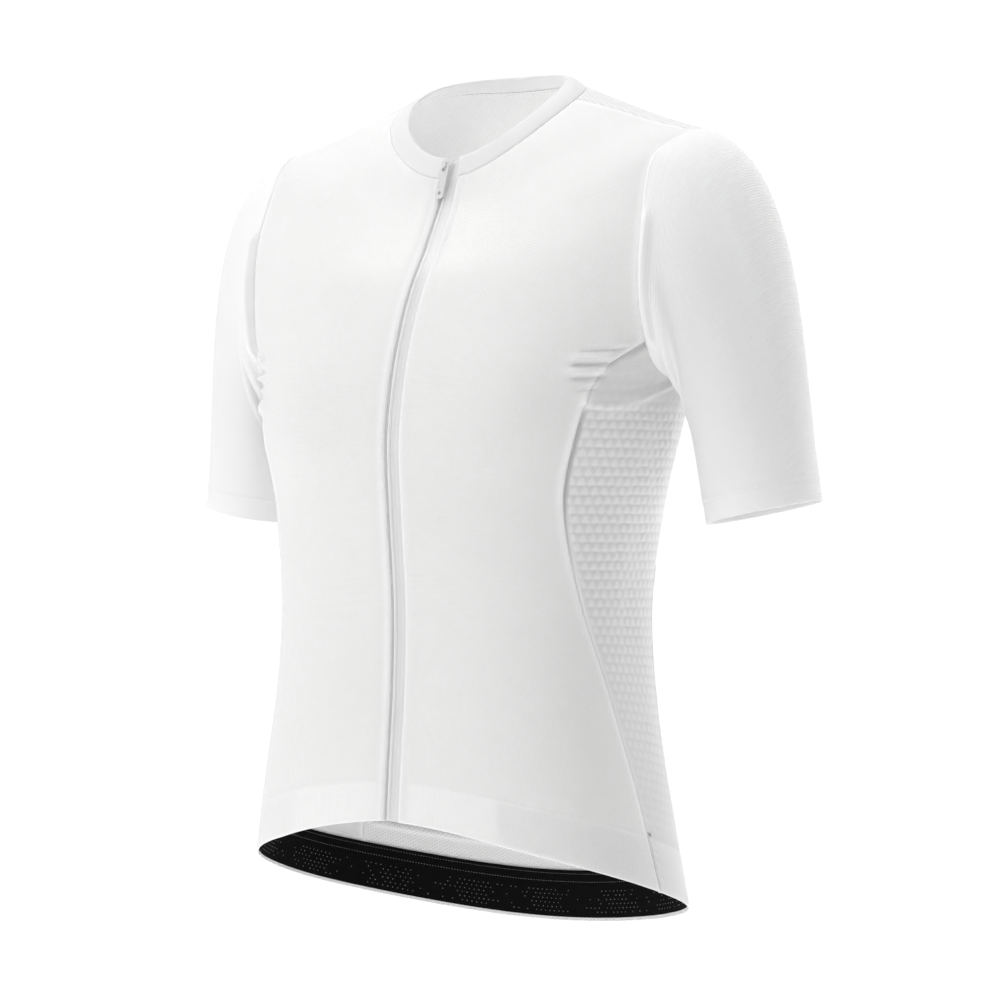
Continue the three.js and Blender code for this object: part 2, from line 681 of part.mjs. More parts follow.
function blockSolid(x, y, z, atX, atY, atZ) {
  return solidOf(new THREE.BoxGeometry(x, y, z).translate(atX, atY, atZ));
}

function placedMesh(name, solid, look) {
  const data = solid.getMesh();
  const points = [];
  for (let i = 0; i < data.vertProperties.length; i += data.numProp) {
    const p = new THREE.Vector3(data.vertProperties[i], data.vertProperties[i + 1], data.vertProperties[i + 2]);
    points.push(p.applyMatrix4(place));
  }
  return solidMesh(name, points, Array.from(data.triVerts), look);
}

// Slider: a plate on each side of the tapes, joined by a post between them, with a bridge over the pull tab's pin
const half = slider.width / 2;
const shield = [
  [-half * 0.72, -slider.length / 2],
  [half * 0.72, -slider.length / 2],
  [half, slider.length * 0.22],
  [half * 0.7, slider.length / 2],
  [-half * 0.7, slider.length / 2],
  [-half, slider.length * 0.22],
];
const backBottom = -(coilDepth + zip.coilWall + slider.clear + slider.plate);
const postTall = slider.clear - backBottom;
const postY = slider.length / 2 - 2.6;
const pinAt = { y: 0.6, z: slider.clear + slider.plate + tab.clear + tab.thick / 2 };
const bridgeTop = pinAt.z + tab.thick / 2 + tab.clear;
const footTall = bridgeTop - slider.clear;
const bridgeReach = tab.pin / 2 + tab.clear + slider.foot / 2;
const foot = (y) => blockSolid(tab.bridge, slider.foot, footTall, 0, y, slider.clear + footTall / 2);
const sliderSolid = plateSolid(shield, 1.6, slider.clear, slider.plate)
  .add(plateSolid(shield, 1.6, backBottom, slider.plate))
  .add(blockSolid(slider.post, 3.4, postTall, 0, postY, (slider.clear + backBottom) / 2 + 0.2))
  .add(foot(pinAt.y - bridgeReach))
  .add(foot(pinAt.y + bridgeReach))
  .add(blockSolid(tab.bridge, bridgeReach * 2 + slider.foot, 1.1, 0, pinAt.y, bridgeTop + 0.5));
group.add(placedMesh("zip_slider", sliderSolid, metal));

// Pull tab: a plate with a window that leaves the pin, and an oval hole near its end
const tabHalf = tab.width / 2;
const tabOutline = [
  [-tabHalf, tab.pin / 2],
  [-tabHalf, -tab.length + 1.5],
  [-tabHalf * 0.45, -tab.length],
  [tabHalf * 0.45, -tab.length],
  [tabHalf, -tab.length + 1.5],
  [tabHalf, tab.pin / 2],
];
const pinWindow = blockSolid(tab.bridge + 1, tab.window, 4, 0, -tab.pin / 2 - tab.window / 2, 0);
const ovalHole = new THREE.CylinderGeometry(tab.hole / 2, tab.hole / 2, 4, 20);
ovalHole.rotateX(Math.PI / 2).scale(1, 1.35, 1).translate(0, -tab.length + 4, 0);
const tabSolid = plateSolid(tabOutline, 0.55, -tab.thick / 2, tab.thick, 0.18)
  .subtract(pinWindow)
  .subtract(solidOf(ovalHole))
  .translate([0, pinAt.y, pinAt.z]);
group.add(placedMesh("zip_pull_tab", tabSolid, metal));

export default group;
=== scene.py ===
import math
import bpy
import bmesh
import numpy as np
from mathutils import Matrix


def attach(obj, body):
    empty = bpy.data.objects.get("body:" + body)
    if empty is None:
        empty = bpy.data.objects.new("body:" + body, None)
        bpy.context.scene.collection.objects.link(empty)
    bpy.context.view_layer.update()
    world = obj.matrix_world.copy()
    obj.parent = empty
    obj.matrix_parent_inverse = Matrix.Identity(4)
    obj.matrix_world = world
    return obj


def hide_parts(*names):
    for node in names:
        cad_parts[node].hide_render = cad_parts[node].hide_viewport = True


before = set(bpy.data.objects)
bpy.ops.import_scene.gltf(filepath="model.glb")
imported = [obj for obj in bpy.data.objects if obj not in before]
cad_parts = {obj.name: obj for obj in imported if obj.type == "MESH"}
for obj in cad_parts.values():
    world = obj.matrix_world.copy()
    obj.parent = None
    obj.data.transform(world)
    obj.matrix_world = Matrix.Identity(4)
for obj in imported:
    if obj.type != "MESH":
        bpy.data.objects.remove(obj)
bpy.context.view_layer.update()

scene = bpy.context.scene

# Camera, at the photo's own angle. Metres and degrees.
photoCamera = {"azimuth": 32, "distance": 2.4, "height": -0.2835, "aside": 0.0091, "lens": 123.4}


def makeCamera(values):
    data = bpy.data.cameras.new("photoCamera")
    camera = bpy.data.objects.new("photoCamera", data)
    scene.collection.objects.link(camera)
    angle = math.radians(values["azimuth"])
    right = (math.cos(angle), math.sin(angle))
    back = (math.sin(angle), -math.cos(angle))
    camera.location = (
        back[0] * values["distance"] + right[0] * values["aside"],
        back[1] * values["distance"] + right[1] * values["aside"],
        values["height"],
    )
    camera.rotation_euler = (math.radians(90), 0, angle)
    data.lens = values["lens"]
    data.sensor_width = 36
    data.clip_start = 0.05
    data.clip_end = 60
    scene.camera = camera


makeCamera(photoCamera)
print("camera made")

# Torso rings, from the hem up to the neck seam, in millimetres
# level, width, yFront, ySide, yBack, zFront, zSide, zBack, squareFront, squareBack
torsoRings = [
    (0, 158, -127.6, -20.5, 87, -503, -549, -586, 2.4, 2.3),
    (60, 146.5, -123.8, -20.5, 79, -454, -487, -517, 2.65, 2.3),
    (125, 135, -119.5, -20.5, 69, -405, -421, -434, 2.85, 2.3),
    (190, 132, -118.7, -21, 63, -352, -355, -358, 2.75, 2.3),
    (255, 140.5, -124.3, -18.5, 67.5, -290, -290, -290, 2.35, 2.3),
    (300, 149, -126.9, -13.5, 74, -245, -245, -245, 2.25, 2.3),
    (340, 158.5, -121, -6, 79, -205, -205, -205, 2.25, 2.3),
    (375, 181, -112.5, 0, 81, -176, -157, -170, 2.1, 2.2),
    (415, 194, -98.5, 4, 82, -143, -93, -120, 2.05, 2.1),
    (450, 183, -80.3, 7, 77, -115, -46, -75, 2.05, 2.1),
    (485, 164, -67.5, 8, 70, -93, -34, -44, 2.1, 2.2),
    (510, 132, -61, 8, 64, -81, -25, -25, 2.1, 2.2),
    (537, 99, -57, 5, 57, -71, -14, -8, 2.1, 2.1),
    (560, 73, -54, 2, 52, -62.5, -6.5, 8, 2.1, 2.1),
]
collarRings = [
    (0, 73, -54, 2, 52, -62.5, -6.5, 8, 2.1, 2.1),
    (8, 65, -51.2, 2, 50, -55, -2.5, 13, 2.1, 2.1),
    (16, 57.5, -48.5, 2, 48.5, -47.8, 0, 18, 2.1, 2.1),
]
# The side panel's seams: level, then the front and the back seam as shares of half the girth
sideSeams = [
    (0, 0.475, 0.665),
    (60, 0.459, 0.655),
    (125, 0.428, 0.648),
    (190, 0.37, 0.645),
    (255, 0.3215, 0.645),
    (300, 0.325, 0.642),
    (340, 0.343, 0.626),
    (352, 0.364, 0.615),
    (362, 0.401, 0.599),
]
form = {
    "armpit": 343, "panelCorner": 362, "shoulderTip": 485, "neck": 560, "collar": 16,
    "armholeHalf": 0.145, "armholeRows": 10,
    "swellX": 92, "swellZ": -218, "swellWide": 50, "swellUp": 45, "swellDown": 50, "swell": 11,
    "hemPeak": 5, "hemPeakShare": 0.22,
}

# Creases on the torso as soft ridges, or troughs where the height is below 0. Side 1 is the wearer's left,
# -1 the right and 0 both. side, share0, level0, share1, level1, bow, width, height
creases = [
    (0, 0.34, 327, 0.44, 332, -5, 5, 2.4),
    (0, 0.334, 325.8, 0.41, 328, -2.8, 1.7, 1.2),
    (0, 0.41, 328.4, 0.5, 339, -1, 1.8, 1.2),
    (0, 0.4, 334, 0.49, 342.5, -1, 2.2, -1.0),
    (0, 0.3, 353.4, 0.345, 353.8, 0, 3.2, 1.7),
    (0, 0.3, 345.3, 0.35, 345.8, 0, 3.2, 1.7),
    (0, 0.318, 359.6, 0.372, 360.4, 0, 1.4, 1.2),
    (0, 0.308, 357, 0.368, 357.6, 0, 1.3, -1.3),
    (0, 0.302, 352.8, 0.35, 353.2, -0.6, 1.6, 1.7),
    (0, 0.306, 349.6, 0.362, 350.2, 0, 1.6, -2.1),
    (0, 0.302, 345.6, 0.348, 346.2, -0.6, 1.6, 1.7),
    (0, 0.31, 341.8, 0.352, 342.6, 0, 1.7, -2.0),
    (0, 0.32, 337.6, 0.345, 338.6, 0, 1.8, 0.9),
    (0, 0.318, 333.4, 0.345, 334.6, 0, 1.6, -1.2),
    (0, 0.375, 346, 0.413, 347.5, 0, 2.0, 0.9),
    (1, 0.25, 300, 0.3, 304, 1, 3, 0.35),
    (1, 0.262, 268, 0.31, 272, -1, 3.5, 0.3),
    (-1, 0.27, 322, 0.33, 326, 2, 4, 0.6),
    (-1, 0.345, 300, 0.42, 304, 2, 5, 0.8),
]

# Depth of the tuck along the front side seam, by level
tuck = [
    (0, 0), (200, 0), (240, 1.8), (270, 3.8), (312, 4.2), (323, 1.2), (335, 0.6), (350, 0.9), (357, 2.4),
    (362, 3.4)
]


def tuckDepth(level):
    levels, depths = zip(*tuck)
    return np.interp(level, levels, depths)


def smoothRows(rings, levels):
    rows = np.array(rings, float)
    knots = rows[:, 0]
    slopes = np.empty_like(rows)
    slopes[1:-1] = (rows[2:] - rows[:-2]) / (knots[2:] - knots[:-2])[:, None]
    slopes[0] = (rows[1] - rows[0]) / (knots[1] - knots[0])
    slopes[-1] = (rows[-1] - rows[-2]) / (knots[-1] - knots[-2])
    levels = np.asarray(levels, float)
    i = np.clip(np.searchsorted(knots, levels) - 1, 0, len(knots) - 2)
    span = knots[i + 1] - knots[i]
    t = ((levels - knots[i]) / span)[..., None]
    span = span[..., None]
    return (
        (2 * t**3 - 3 * t**2 + 1) * rows[i]
        + (t**3 - 2 * t**2 + t) * span * slopes[i]
        + (3 * t**2 - 2 * t**3) * rows[i + 1]
        + (t**3 - t**2) * span * slopes[i + 1]
    )


def risesAt(value, place, soft):
    # A soft step from 0 to 1 where the value passes the place
    return 0.5 + 0.5 * np.tanh((value - place) / (2 * soft))


def unit(v):
    return v / np.maximum(np.linalg.norm(v, axis=-1, keepdims=True), 1e-9)


class RingForm:
    # A surface through rings, kept as a fine table over shares of half the girth and levels

    def __init__(self, rings, step):
        self.levels = np.arange(rings[0][0], rings[-1][0] + step / 2, step)
        self.step = step
        shares = np.linspace(0, 1, 401)
        angles = np.linspace(0, math.pi, 721)
        sine, cosine = np.abs(np.sin(angles)), np.cos(angles)
        self.points = np.empty((len(self.levels), len(shares), 3))
        self.girths = np.empty(len(self.levels))
        for r, ring in enumerate(smoothRows(rings, self.levels)):
            width, yFront, ySide, yBack, zFront, zSide, zBack, squareFront, squareBack = ring[1:]
            power = np.where(cosine > 0, 2 / squareFront, 2 / squareBack)
            depth = np.where(cosine > 0, yFront, yBack) - ySide
            x = width * sine**power
            y = ySide + depth * np.abs(cosine) ** power
            run = np.concatenate([[0], np.cumsum(np.hypot(np.diff(x), np.diff(y)))])
            self.girths[r] = run[-1]
            self.points[r, :, 0] = np.interp(shares * run[-1], run, x)
            self.points[r, :, 1] = np.interp(shares * run[-1], run, y)
            middle = (zFront + zBack) / 2
            self.points[r, :, 2] = (
                (middle + zSide) / 2
                + (zFront - zBack) / 2 * np.cos(math.pi * shares)
                + (middle - zSide) / 2 * np.cos(2 * math.pi * shares)
            )
        self.shares = shares
        self.findNormals()

    def findNormals(self):
        along = np.gradient(self.points, axis=1)
        up = np.gradient(self.points, axis=0)
        normals = np.cross(along, up)
        normals[:, [0, -1], 0] = 0
        self.normals = unit(normals)

    def read(self, field, share, level):
        share, level = np.broadcast_arrays(np.asarray(share, float), np.asarray(level, float))
        around = (share + 1) % 2 - 1
        s = np.abs(around) * (len(self.shares) - 1)
        l = np.clip((level - self.levels[0]) / self.step, 0, len(self.levels) - 1)
        i = np.clip(np.floor(l).astype(int), 0, len(self.levels) - 2)
        j = np.clip(np.floor(s).astype(int), 0, len(self.shares) - 2)
        a, b = (l - i)[..., None], (s - j)[..., None]
        value = (
            field[i, j] * (1 - a) * (1 - b)
            + field[i + 1, j] * a * (1 - b)
            + field[i, j + 1] * (1 - a) * b
            + field[i + 1, j + 1] * a * b
        )
        value[..., 0] *= np.where(around < 0, -1.0, 1.0)
        return value

    def point(self, share, level):
        return self.read(self.points, share, level)

    def normal(self, share, level):
        return unit(self.read(self.normals, share, level))

    def girth(self, level):
        return np.interp(level, self.levels, self.girths)


def makeTorso():
    torso = RingForm(torsoRings, 2.0)
    x, y, z = (torso.points[..., k] for k in range(3))
    dx = (np.abs(x) - form["swellX"]) / form["swellWide"]
    dz = (z - form["swellZ"]) / np.where(z > form["swellZ"], form["swellUp"], form["swellDown"])
    swell = form["swell"] * np.exp(-(dx**2 + dz**2)) * (y < 0)
    peak = np.maximum(0, 1 - torso.shares / form["hemPeakShare"])[None, :]
    peak = peak * np.maximum(0, 1 - torso.levels / 60)[:, None]
    torso.points[..., 0] += np.sign(x) * swell * 0.5
    torso.points[..., 1] -= swell * 0.85
    torso.points[..., 2] += form["hemPeak"] * peak
    torso.findNormals()
    return torso


torso = makeTorso()
neckband = RingForm(collarRings, 0.5)


def creaseLift(share, level, table):
    share, level = np.broadcast_arrays(np.asarray(share, float), np.asarray(level, float))
    around = (share + 1) % 2 - 1
    girth = torso.girth(level)
    lift = np.zeros(share.shape)
    for side, share0, level0, share1, level1, bow, width, height in table:
        ax, ay = (np.abs(around) - share0) * girth, level - level0
        dx, dy = (share1 - share0) * girth, level1 - level0
        length = np.hypot(dx, dy)
        along = (ax * dx + ay * dy) / length
        bend = bow * (1 - (2 * along / length - 1) ** 2)
        across = (ay * dx - ax * dy) / length - bend
        past = np.maximum(0, np.maximum(-along, along - length))
        ridge = height * np.exp(-((across / width) ** 2) - (past / (np.abs(width) * 1.6)) ** 2)
        lift += ridge * ((around * side >= 0) if side else 1)
    return lift


def torsoPoint(share, level, lift=0.0):
    rise = creaseLift(share, level, creases) + lift
    return torso.point(share, level) + torso.normal(share, level) * rise[..., None]


def armholeShare(level):
    half = (form["shoulderTip"] - form["armpit"]) / 2
    t = np.minimum(1, np.abs(level - form["armpit"] - half) / half)
    return form["armholeHalf"] * np.sqrt(1 - t**2)


def armholeBottom(share):
    half = (form["shoulderTip"] - form["armpit"]) / 2
    t = np.minimum(1, np.abs(share - 0.5) / form["armholeHalf"])
    return form["armpit"] + half - half * np.sqrt(1 - t**2)


def panelEdge(level, which):
    level = np.asarray(level, float)
    towards, column = (-1, 1) if which == "front" else (1, 2)
    corner = 0.5 + towards * armholeShare(form["panelCorner"])
    seam = smoothRows(sideSeams, np.minimum(level, form["panelCorner"]))[..., column]
    drift = corner - sideSeams[-1][column]
    lower = seam + drift * np.clip(level / form["panelCorner"], 0, 1) ** 6
    upper = np.where(level < form["shoulderTip"], 0.5 + towards * armholeShare(level), 0.5)
    return np.where(level <= form["panelCorner"], lower, upper)


# Beside the armhole, a panel's rows spread evenly at its middle and bunch at its outer edge
fan = np.arange(form["armholeRows"] + 1)
fanTall = form["shoulderTip"] - form["panelCorner"]
fanEdge = form["panelCorner"] + fanTall * np.sin(fan / form["armholeRows"] * math.pi / 2)
fanMiddle = form["panelCorner"] + fanTall * fan / form["armholeRows"]


def edgeLevel(middle):
    inside = (middle > form["panelCorner"]) & (middle < form["shoulderTip"])
    return np.where(inside, np.interp(middle, fanMiddle, fanEdge), middle)


def sideShare(level, t):
    return panelEdge(level, "front") + (panelEdge(level, "back") - panelEdge(level, "front")) * t


# Distances from an edge where a grid gets finer, in millimetres
nearEdge = np.array([0, 0.35, 0.8, 1.4, 2.2, 3.2, 4.6, 6.2])


def spreadAcross(width, spacing):
    width = np.atleast_1d(np.asarray(width, float))[:, None]
    inner = nearEdge[-1]
    count = max(2, int(round((width.max() - 2 * inner) / spacing)))
    middle = inner + (width - 2 * inner) * (np.arange(1, count) / count)[None, :]
    start = np.broadcast_to(nearEdge[None, :], (len(width), len(nearEdge)))
    return np.concatenate([start, middle, width - nearEdge[::-1][None, :]], axis=1)


# Cross-sections of edges: how the cloth lies at each of those distances
seamEdge = np.array([-0.85, -0.6, -0.34, -0.12, 0.02, 0.08, 0.05, 0])
armholeEdge = np.array([-0.22, -0.2, -0.16, -0.1, -0.04, 0, 0, 0])
hemEdge = np.array([-0.25, -0.05, 0.12, 0.2, 0.24, 0.25, 0.25, 0.25])


def edgeLift(distance, section):
    return np.interp(distance, nearEdge, section, right=section[-1])


def besideArmhole(level, distance):
    # Side and shoulder seams lie in a soft valley, and the armhole's seam is flatter
    armhole = (risesAt(level, form["panelCorner"], 3) * risesAt(form["shoulderTip"] + 4, level, 2))[:, None]
    return edgeLift(distance, seamEdge) * (1 - armhole) + edgeLift(distance, armholeEdge) * armhole


def placeGrid(name, points, across, up, closed=False, attributes=None):
    # A grid of quads set to the given points, with its lengths along the cloth as its UV map
    rows, columns = points.shape[:2]
    bm = bmesh.new()
    bmesh.ops.create_grid(bm, x_segments=columns - 1, y_segments=rows - 1, size=0.5)
    mesh = bpy.data.meshes.new(name)
    bm.to_mesh(mesh)
    bm.free()
    mesh.vertices.foreach_set("co", (points * 0.001).astype(np.float32).ravel())
    corner = np.empty(len(mesh.loops), dtype=np.int32)
    mesh.loops.foreach_get("vertex_index", corner)
    run = np.stack(
        [np.broadcast_to(across, (rows, columns)), np.broadcast_to(up, (rows, columns))], axis=-1
    )
    uv = mesh.uv_layers.new(name="cloth")
    uv.data.foreach_set("uv", (run.reshape(-1, 2)[corner] * 0.001).astype(np.float32).ravel())
    for key, value in (attributes or {}).items():
        layer = mesh.attributes.new(key, "FLOAT", "POINT")
        layer.data.foreach_set("value", np.broadcast_to(value, (rows, columns)).astype(np.float32).ravel())
    if closed:
        bm = bmesh.new()
        bm.from_mesh(mesh)
        bmesh.ops.remove_doubles(bm, verts=bm.verts, dist=1e-6)
        bm.to_mesh(mesh)
        bm.free()
    mesh.shade_smooth()
    piece = bpy.data.objects.new(name, mesh)
    scene.collection.objects.link(piece)
    return piece


def clothArea(points):
    a = points[1:, 1:] - points[:-1, :-1]
    b = points[1:, :-1] - points[:-1, 1:]
    return np.linalg.norm(np.cross(a, b), axis=-1).sum() / 2 * 1e-6


def giveWall(piece, thick):
    wall = piece.modifiers.new("wall", "SOLIDIFY")
    wall.thickness = thick * 0.001
    wall.offset = -1
    wall.use_quality_normals = True


def finishPiece(piece, material, slot, *nodes):
    piece.data.materials.append(material)
    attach(piece, "jersey")
    if nodes:
        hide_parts(*nodes)
    return piece


# Materials. Lengths are in metres on the cloth.
def addNode(tree, kind, links=None, **settings):
    made = tree.nodes.new(kind)
    for key, value in settings.items():
        setattr(made, key, value)
    for key, value in (links or {}).items():
        if isinstance(value, bpy.types.NodeSocket):
            tree.links.new(value, made.inputs[key])
        else:
            made.inputs[key].default_value = value
    return made


def newMaterial(name, roughness, metallic=0.0, sheen=0.0, specular=0.5, glow=0.0):
    material = bpy.data.materials.new(name)
    material.use_nodes = True
    tree = material.node_tree
    shader = tree.nodes["Principled BSDF"]
    shader.inputs["Roughness"].default_value = roughness
    shader.inputs["Metallic"].default_value = metallic
    shader.inputs["Sheen Weight"].default_value = sheen
    shader.inputs["Sheen Roughness"].default_value = 0.45
    shader.inputs["Specular IOR Level"].default_value = specular
    shader.inputs["Subsurface Weight"].default_value = glow
    shader.inputs["Subsurface Radius"].default_value = (1, 1, 1)
    shader.inputs["Subsurface Scale"].default_value = 0.0012
    return material, tree, shader


def clothPlace(tree):
    return addNode(tree, "ShaderNodeUVMap", uv_map="cloth").outputs["UV"]


def wave(tree, place, direction, pitch):
    # A cosine along one direction of the cloth, one turn for each pitch
    scale = 2 * math.pi / pitch
    vector = (direction[0] * scale, direction[1] * scale, 0)
    phase = addNode(tree, "ShaderNodeVectorMath", {0: place, 1: vector}, operation="DOT_PRODUCT")
    return addNode(tree, "ShaderNodeMath", {0: phase.outputs["Value"]}, operation="COSINE").outputs[0]


def combine(tree, operation, a, b):
    return addNode(tree, "ShaderNodeMath", {0: a, 1: b}, operation=operation).outputs[0]


def honeycomb(tree, place, pitch):
    # Three waves at 60 degrees make round pits on a triangular lattice
    step = pitch * math.sqrt(3) / 2
    total = wave(tree, place, (1, 0), step)
    total = combine(tree, "ADD", total, wave(tree, place, (-0.5, math.sqrt(3) / 2), step))
    total = combine(tree, "ADD", total, wave(tree, place, (-0.5, -math.sqrt(3) / 2), step))
    pit = addNode(tree, "ShaderNodeMapRange", {"Value": total, "From Min": 0.2, "From Max": 2.6})
    return pit.outputs["Result"]


def ribs(tree, place, pitch):
    # Rows across the cloth, each broken into small eyes
    row = wave(tree, place, (0, 1), pitch)
    eye = wave(tree, place, (1, 0), pitch * 0.9)
    both = combine(tree, "MULTIPLY_ADD", combine(tree, "MULTIPLY", row, eye), 0.45)
    total = combine(tree, "ADD", row, both)
    pit = addNode(tree, "ShaderNodeMapRange", {"Value": total, "From Min": -1.0, "From Max": 1.6})
    return pit.outputs["Result"]


def weave(tree, place, pitch):
    # Diagonal lines crossing finer ones, as on a woven tape
    twill = wave(tree, place, (0.8, 0.6), pitch)
    cross = wave(tree, place, (-0.3, 1), pitch * 0.6)
    total = combine(tree, "ADD", twill, combine(tree, "MULTIPLY", cross, 0.5))
    return addNode(
        tree, "ShaderNodeMapRange", {"Value": total, "From Min": -1.5, "From Max": 1.5}
    ).outputs["Result"]


patterns = {"honeycomb": honeycomb, "ribs": ribs, "weave": weave}


def knitMaterial(name, values):
    material, tree, shader = newMaterial(
        name, values["roughness"], sheen=values["sheen"], specular=values["shine"], glow=values["glow"]
    )
    place = clothPlace(tree)
    pits = patterns[values["pattern"]](tree, place, values["pitch"])
    objectPlace = addNode(tree, "ShaderNodeTexCoord").outputs["Object"]
    soft = addNode(
        tree, "ShaderNodeTexNoise", {"Vector": objectPlace, "Scale": 9.0, "Detail": 2.0}
    ).outputs["Fac"]
    fuzz = addNode(
        tree, "ShaderNodeTexNoise", {"Vector": place, "Scale": 2600.0, "Detail": 2.0}
    ).outputs["Fac"]
    layers = addNode(tree, "ShaderNodeAttribute", attribute_name="layers").outputs["Fac"]
    single = addNode(
        tree, "ShaderNodeMix", {"Factor": soft, 6: (*values["single"], 1), 7: (*values["varied"], 1)},
        data_type="RGBA"
    ).outputs[2]
    body = addNode(
        tree, "ShaderNodeMix", {"Factor": layers, 6: single, 7: (*values["doubled"], 1)}, data_type="RGBA"
    ).outputs[2]
    # Painted shade: the knit's hollows take the darker pit colour, standing in for the shade that falls in
    # them, while the bump gives their relief
    depth = combine(tree, "MULTIPLY", pits, values["pitShadeAmount"])
    shade = addNode(
        tree, "ShaderNodeMix", {"Factor": depth, 6: body, 7: (*values["pit"], 1)}, data_type="RGBA"
    ).outputs[2]
    tree.links.new(shade, shader.inputs["Base Color"])
    height = combine(tree, "SUBTRACT", combine(tree, "MULTIPLY", fuzz, 0.35), pits)
    bump = addNode(
        tree, "ShaderNodeBump",
        {"Height": height, "Strength": values["bump"], "Distance": values["pitDepth"]}
    )
    tree.links.new(bump.outputs["Normal"], shader.inputs["Normal"])
    return material


clothFinishes = {
    "front": {
        "pattern": "honeycomb", "pitch": 0.0017, "pitDepth": 0.00022, "bump": 0.8, "pitShadeAmount": 0.16,
        "single": (0.80, 0.80, 0.795), "varied": (0.825, 0.825, 0.825), "doubled": (0.88, 0.88, 0.88),
        "pit": (0.62, 0.62, 0.62), "roughness": 0.72, "sheen": 0.12, "glow": 0.8, "shine": 0.3,
    },
    # Painted shade: the side panels' colours are darker than the front's, standing in for the shade on the
    # sides of the body
    "side": {
        "pattern": "honeycomb", "pitch": 0.0014, "pitDepth": 0.00022, "bump": 0.8, "pitShadeAmount": 0.2,
        "single": (0.66, 0.66, 0.66), "varied": (0.7, 0.7, 0.7), "doubled": (0.83, 0.83, 0.83),
        "pit": (0.45, 0.45, 0.45), "roughness": 0.75, "sheen": 0.1, "glow": 0.8, "shine": 0.3,
    },
    "back": {
        "pattern": "honeycomb", "pitch": 0.0021, "pitDepth": 0.00028, "bump": 1.0, "pitShadeAmount": 0.42,
        "single": (0.78, 0.78, 0.78), "varied": (0.81, 0.81, 0.81), "doubled": (0.82, 0.82, 0.82),
        "pit": (0.5, 0.5, 0.5), "roughness": 0.75, "sheen": 0.1, "glow": 0.8, "shine": 0.3,
    },
    "sleeve": {
        "pattern": "ribs", "pitch": 0.0019, "pitDepth": 0.00024, "bump": 0.8, "pitShadeAmount": 0.16,
        "single": (0.88, 0.88, 0.88), "varied": (0.9, 0.9, 0.9), "doubled": (0.9, 0.9, 0.9),
        "pit": (0.66, 0.66, 0.66), "roughness": 0.72, "sheen": 0.12, "glow": 0.8, "shine": 0.3,
    },
    "collar": {
        "pattern": "ribs", "pitch": 0.0011, "pitDepth": 0.00012, "bump": 0.6, "pitShadeAmount": 0.1,
        "single": (0.84, 0.84, 0.84), "varied": (0.86, 0.86, 0.86), "doubled": (0.89, 0.89, 0.89),
        "pit": (0.66, 0.66, 0.66), "roughness": 0.7, "sheen": 0.12, "glow": 0.8, "shine": 0.3,
    },
    # The tape's darker colour is painted shade for its recess beside the panels' lips
    "tape": {
        "pattern": "weave", "pitch": 0.0009, "pitDepth": 0.00018, "bump": 0.9, "pitShadeAmount": 0.22,
        "single": (0.75, 0.75, 0.75), "varied": (0.78, 0.78, 0.78), "doubled": (0.9, 0.9, 0.9),
        "pit": (0.5, 0.5, 0.5), "roughness": 0.62, "sheen": 0.05, "glow": 0.8, "shine": 0.3,
    },
    "gripper": {
        "pattern": "ribs", "pitch": 0.0012, "pitDepth": 0.0002, "bump": 0.8, "pitShadeAmount": 0.5,
        "single": (0.003, 0.003, 0.003), "varied": (0.005, 0.005, 0.005), "doubled": (0.006, 0.006, 0.006),
        "pit": (0.002, 0.002, 0.002), "roughness": 0.85, "sheen": 0.0, "glow": 0.0, "shine": 0.06,
    },
}
cloth = {name: knitMaterial(name + "_cloth", values) for name, values in clothFinishes.items()}


def plainFinish(name, color, varied, roughness, bump, distance, scale, metallic=0.0, specular=0.5):
    # A finish that varies softly by its place, for thread, teeth, silicone and metal
    material, tree, shader = newMaterial(name, roughness, metallic=metallic, specular=specular)
    place = addNode(tree, "ShaderNodeTexCoord").outputs["Object"]
    noise = addNode(
        tree, "ShaderNodeTexNoise", {"Vector": place, "Scale": scale, "Detail": 3.0}
    ).outputs["Fac"]
    shade = addNode(
        tree, "ShaderNodeMix", {"Factor": noise, 6: (*color, 1), 7: (*varied, 1)}, data_type="RGBA"
    ).outputs[2]
    tree.links.new(shade, shader.inputs["Base Color"])
    rough = addNode(
        tree, "ShaderNodeMapRange", {"Value": noise, "To Min": roughness * 0.8, "To Max": roughness * 1.25}
    ).outputs["Result"]
    tree.links.new(rough, shader.inputs["Roughness"])
    made = addNode(tree, "ShaderNodeBump", {"Height": noise, "Strength": bump, "Distance": distance})
    tree.links.new(made.outputs["Normal"], shader.inputs["Normal"])
    return material


threadWhite = plainFinish("white_thread", (0.74, 0.74, 0.74), (0.86, 0.86, 0.86), 0.6, 0.5, 0.00008, 2500)
threadGrey = plainFinish("grey_thread", (0.2, 0.2, 0.2), (0.3, 0.3, 0.3), 0.6, 0.5, 0.00008, 2500)
silicone = plainFinish("silicone_dots", (0.16, 0.16, 0.17), (0.24, 0.24, 0.25), 0.3, 0.2, 0.00005, 900)
teethPlastic = plainFinish(
    "zip_teeth_plastic", (0.5, 0.5, 0.5), (0.62, 0.62, 0.62), 0.35, 0.3, 0.00006, 1500
)
zipMetal = plainFinish(
    "polished_metal", (0.84, 0.84, 0.85), (0.93, 0.93, 0.93), 0.3, 0.25, 0.00004, 700, 0.55
)
print("finishes made")


# Front panels. The edge beside the zip is turned into a narrow round lip.
frontPanel = {
    "rightEdge": 1.0, "leftEdge": 9.4, "spacing": 3.0, "thick": 0.9,
    "rightLip": [-1.2, -0.5, 0.1, 0.5, 0.74, 0.78, 0.5, 0.1],
    "leftLip": [-1.35, -0.75, -0.2, 0.14, 0.34, 0.36, 0.2, 0.04],
    "hemDeep": 35, "hemStep": 0.1, "creased": (322, 362, 0.8), "tuckLip": 0.35, "flatCut": (0.262, 0.535),
    "cutArea": {1: 0.0766, -1: 0.081},
}


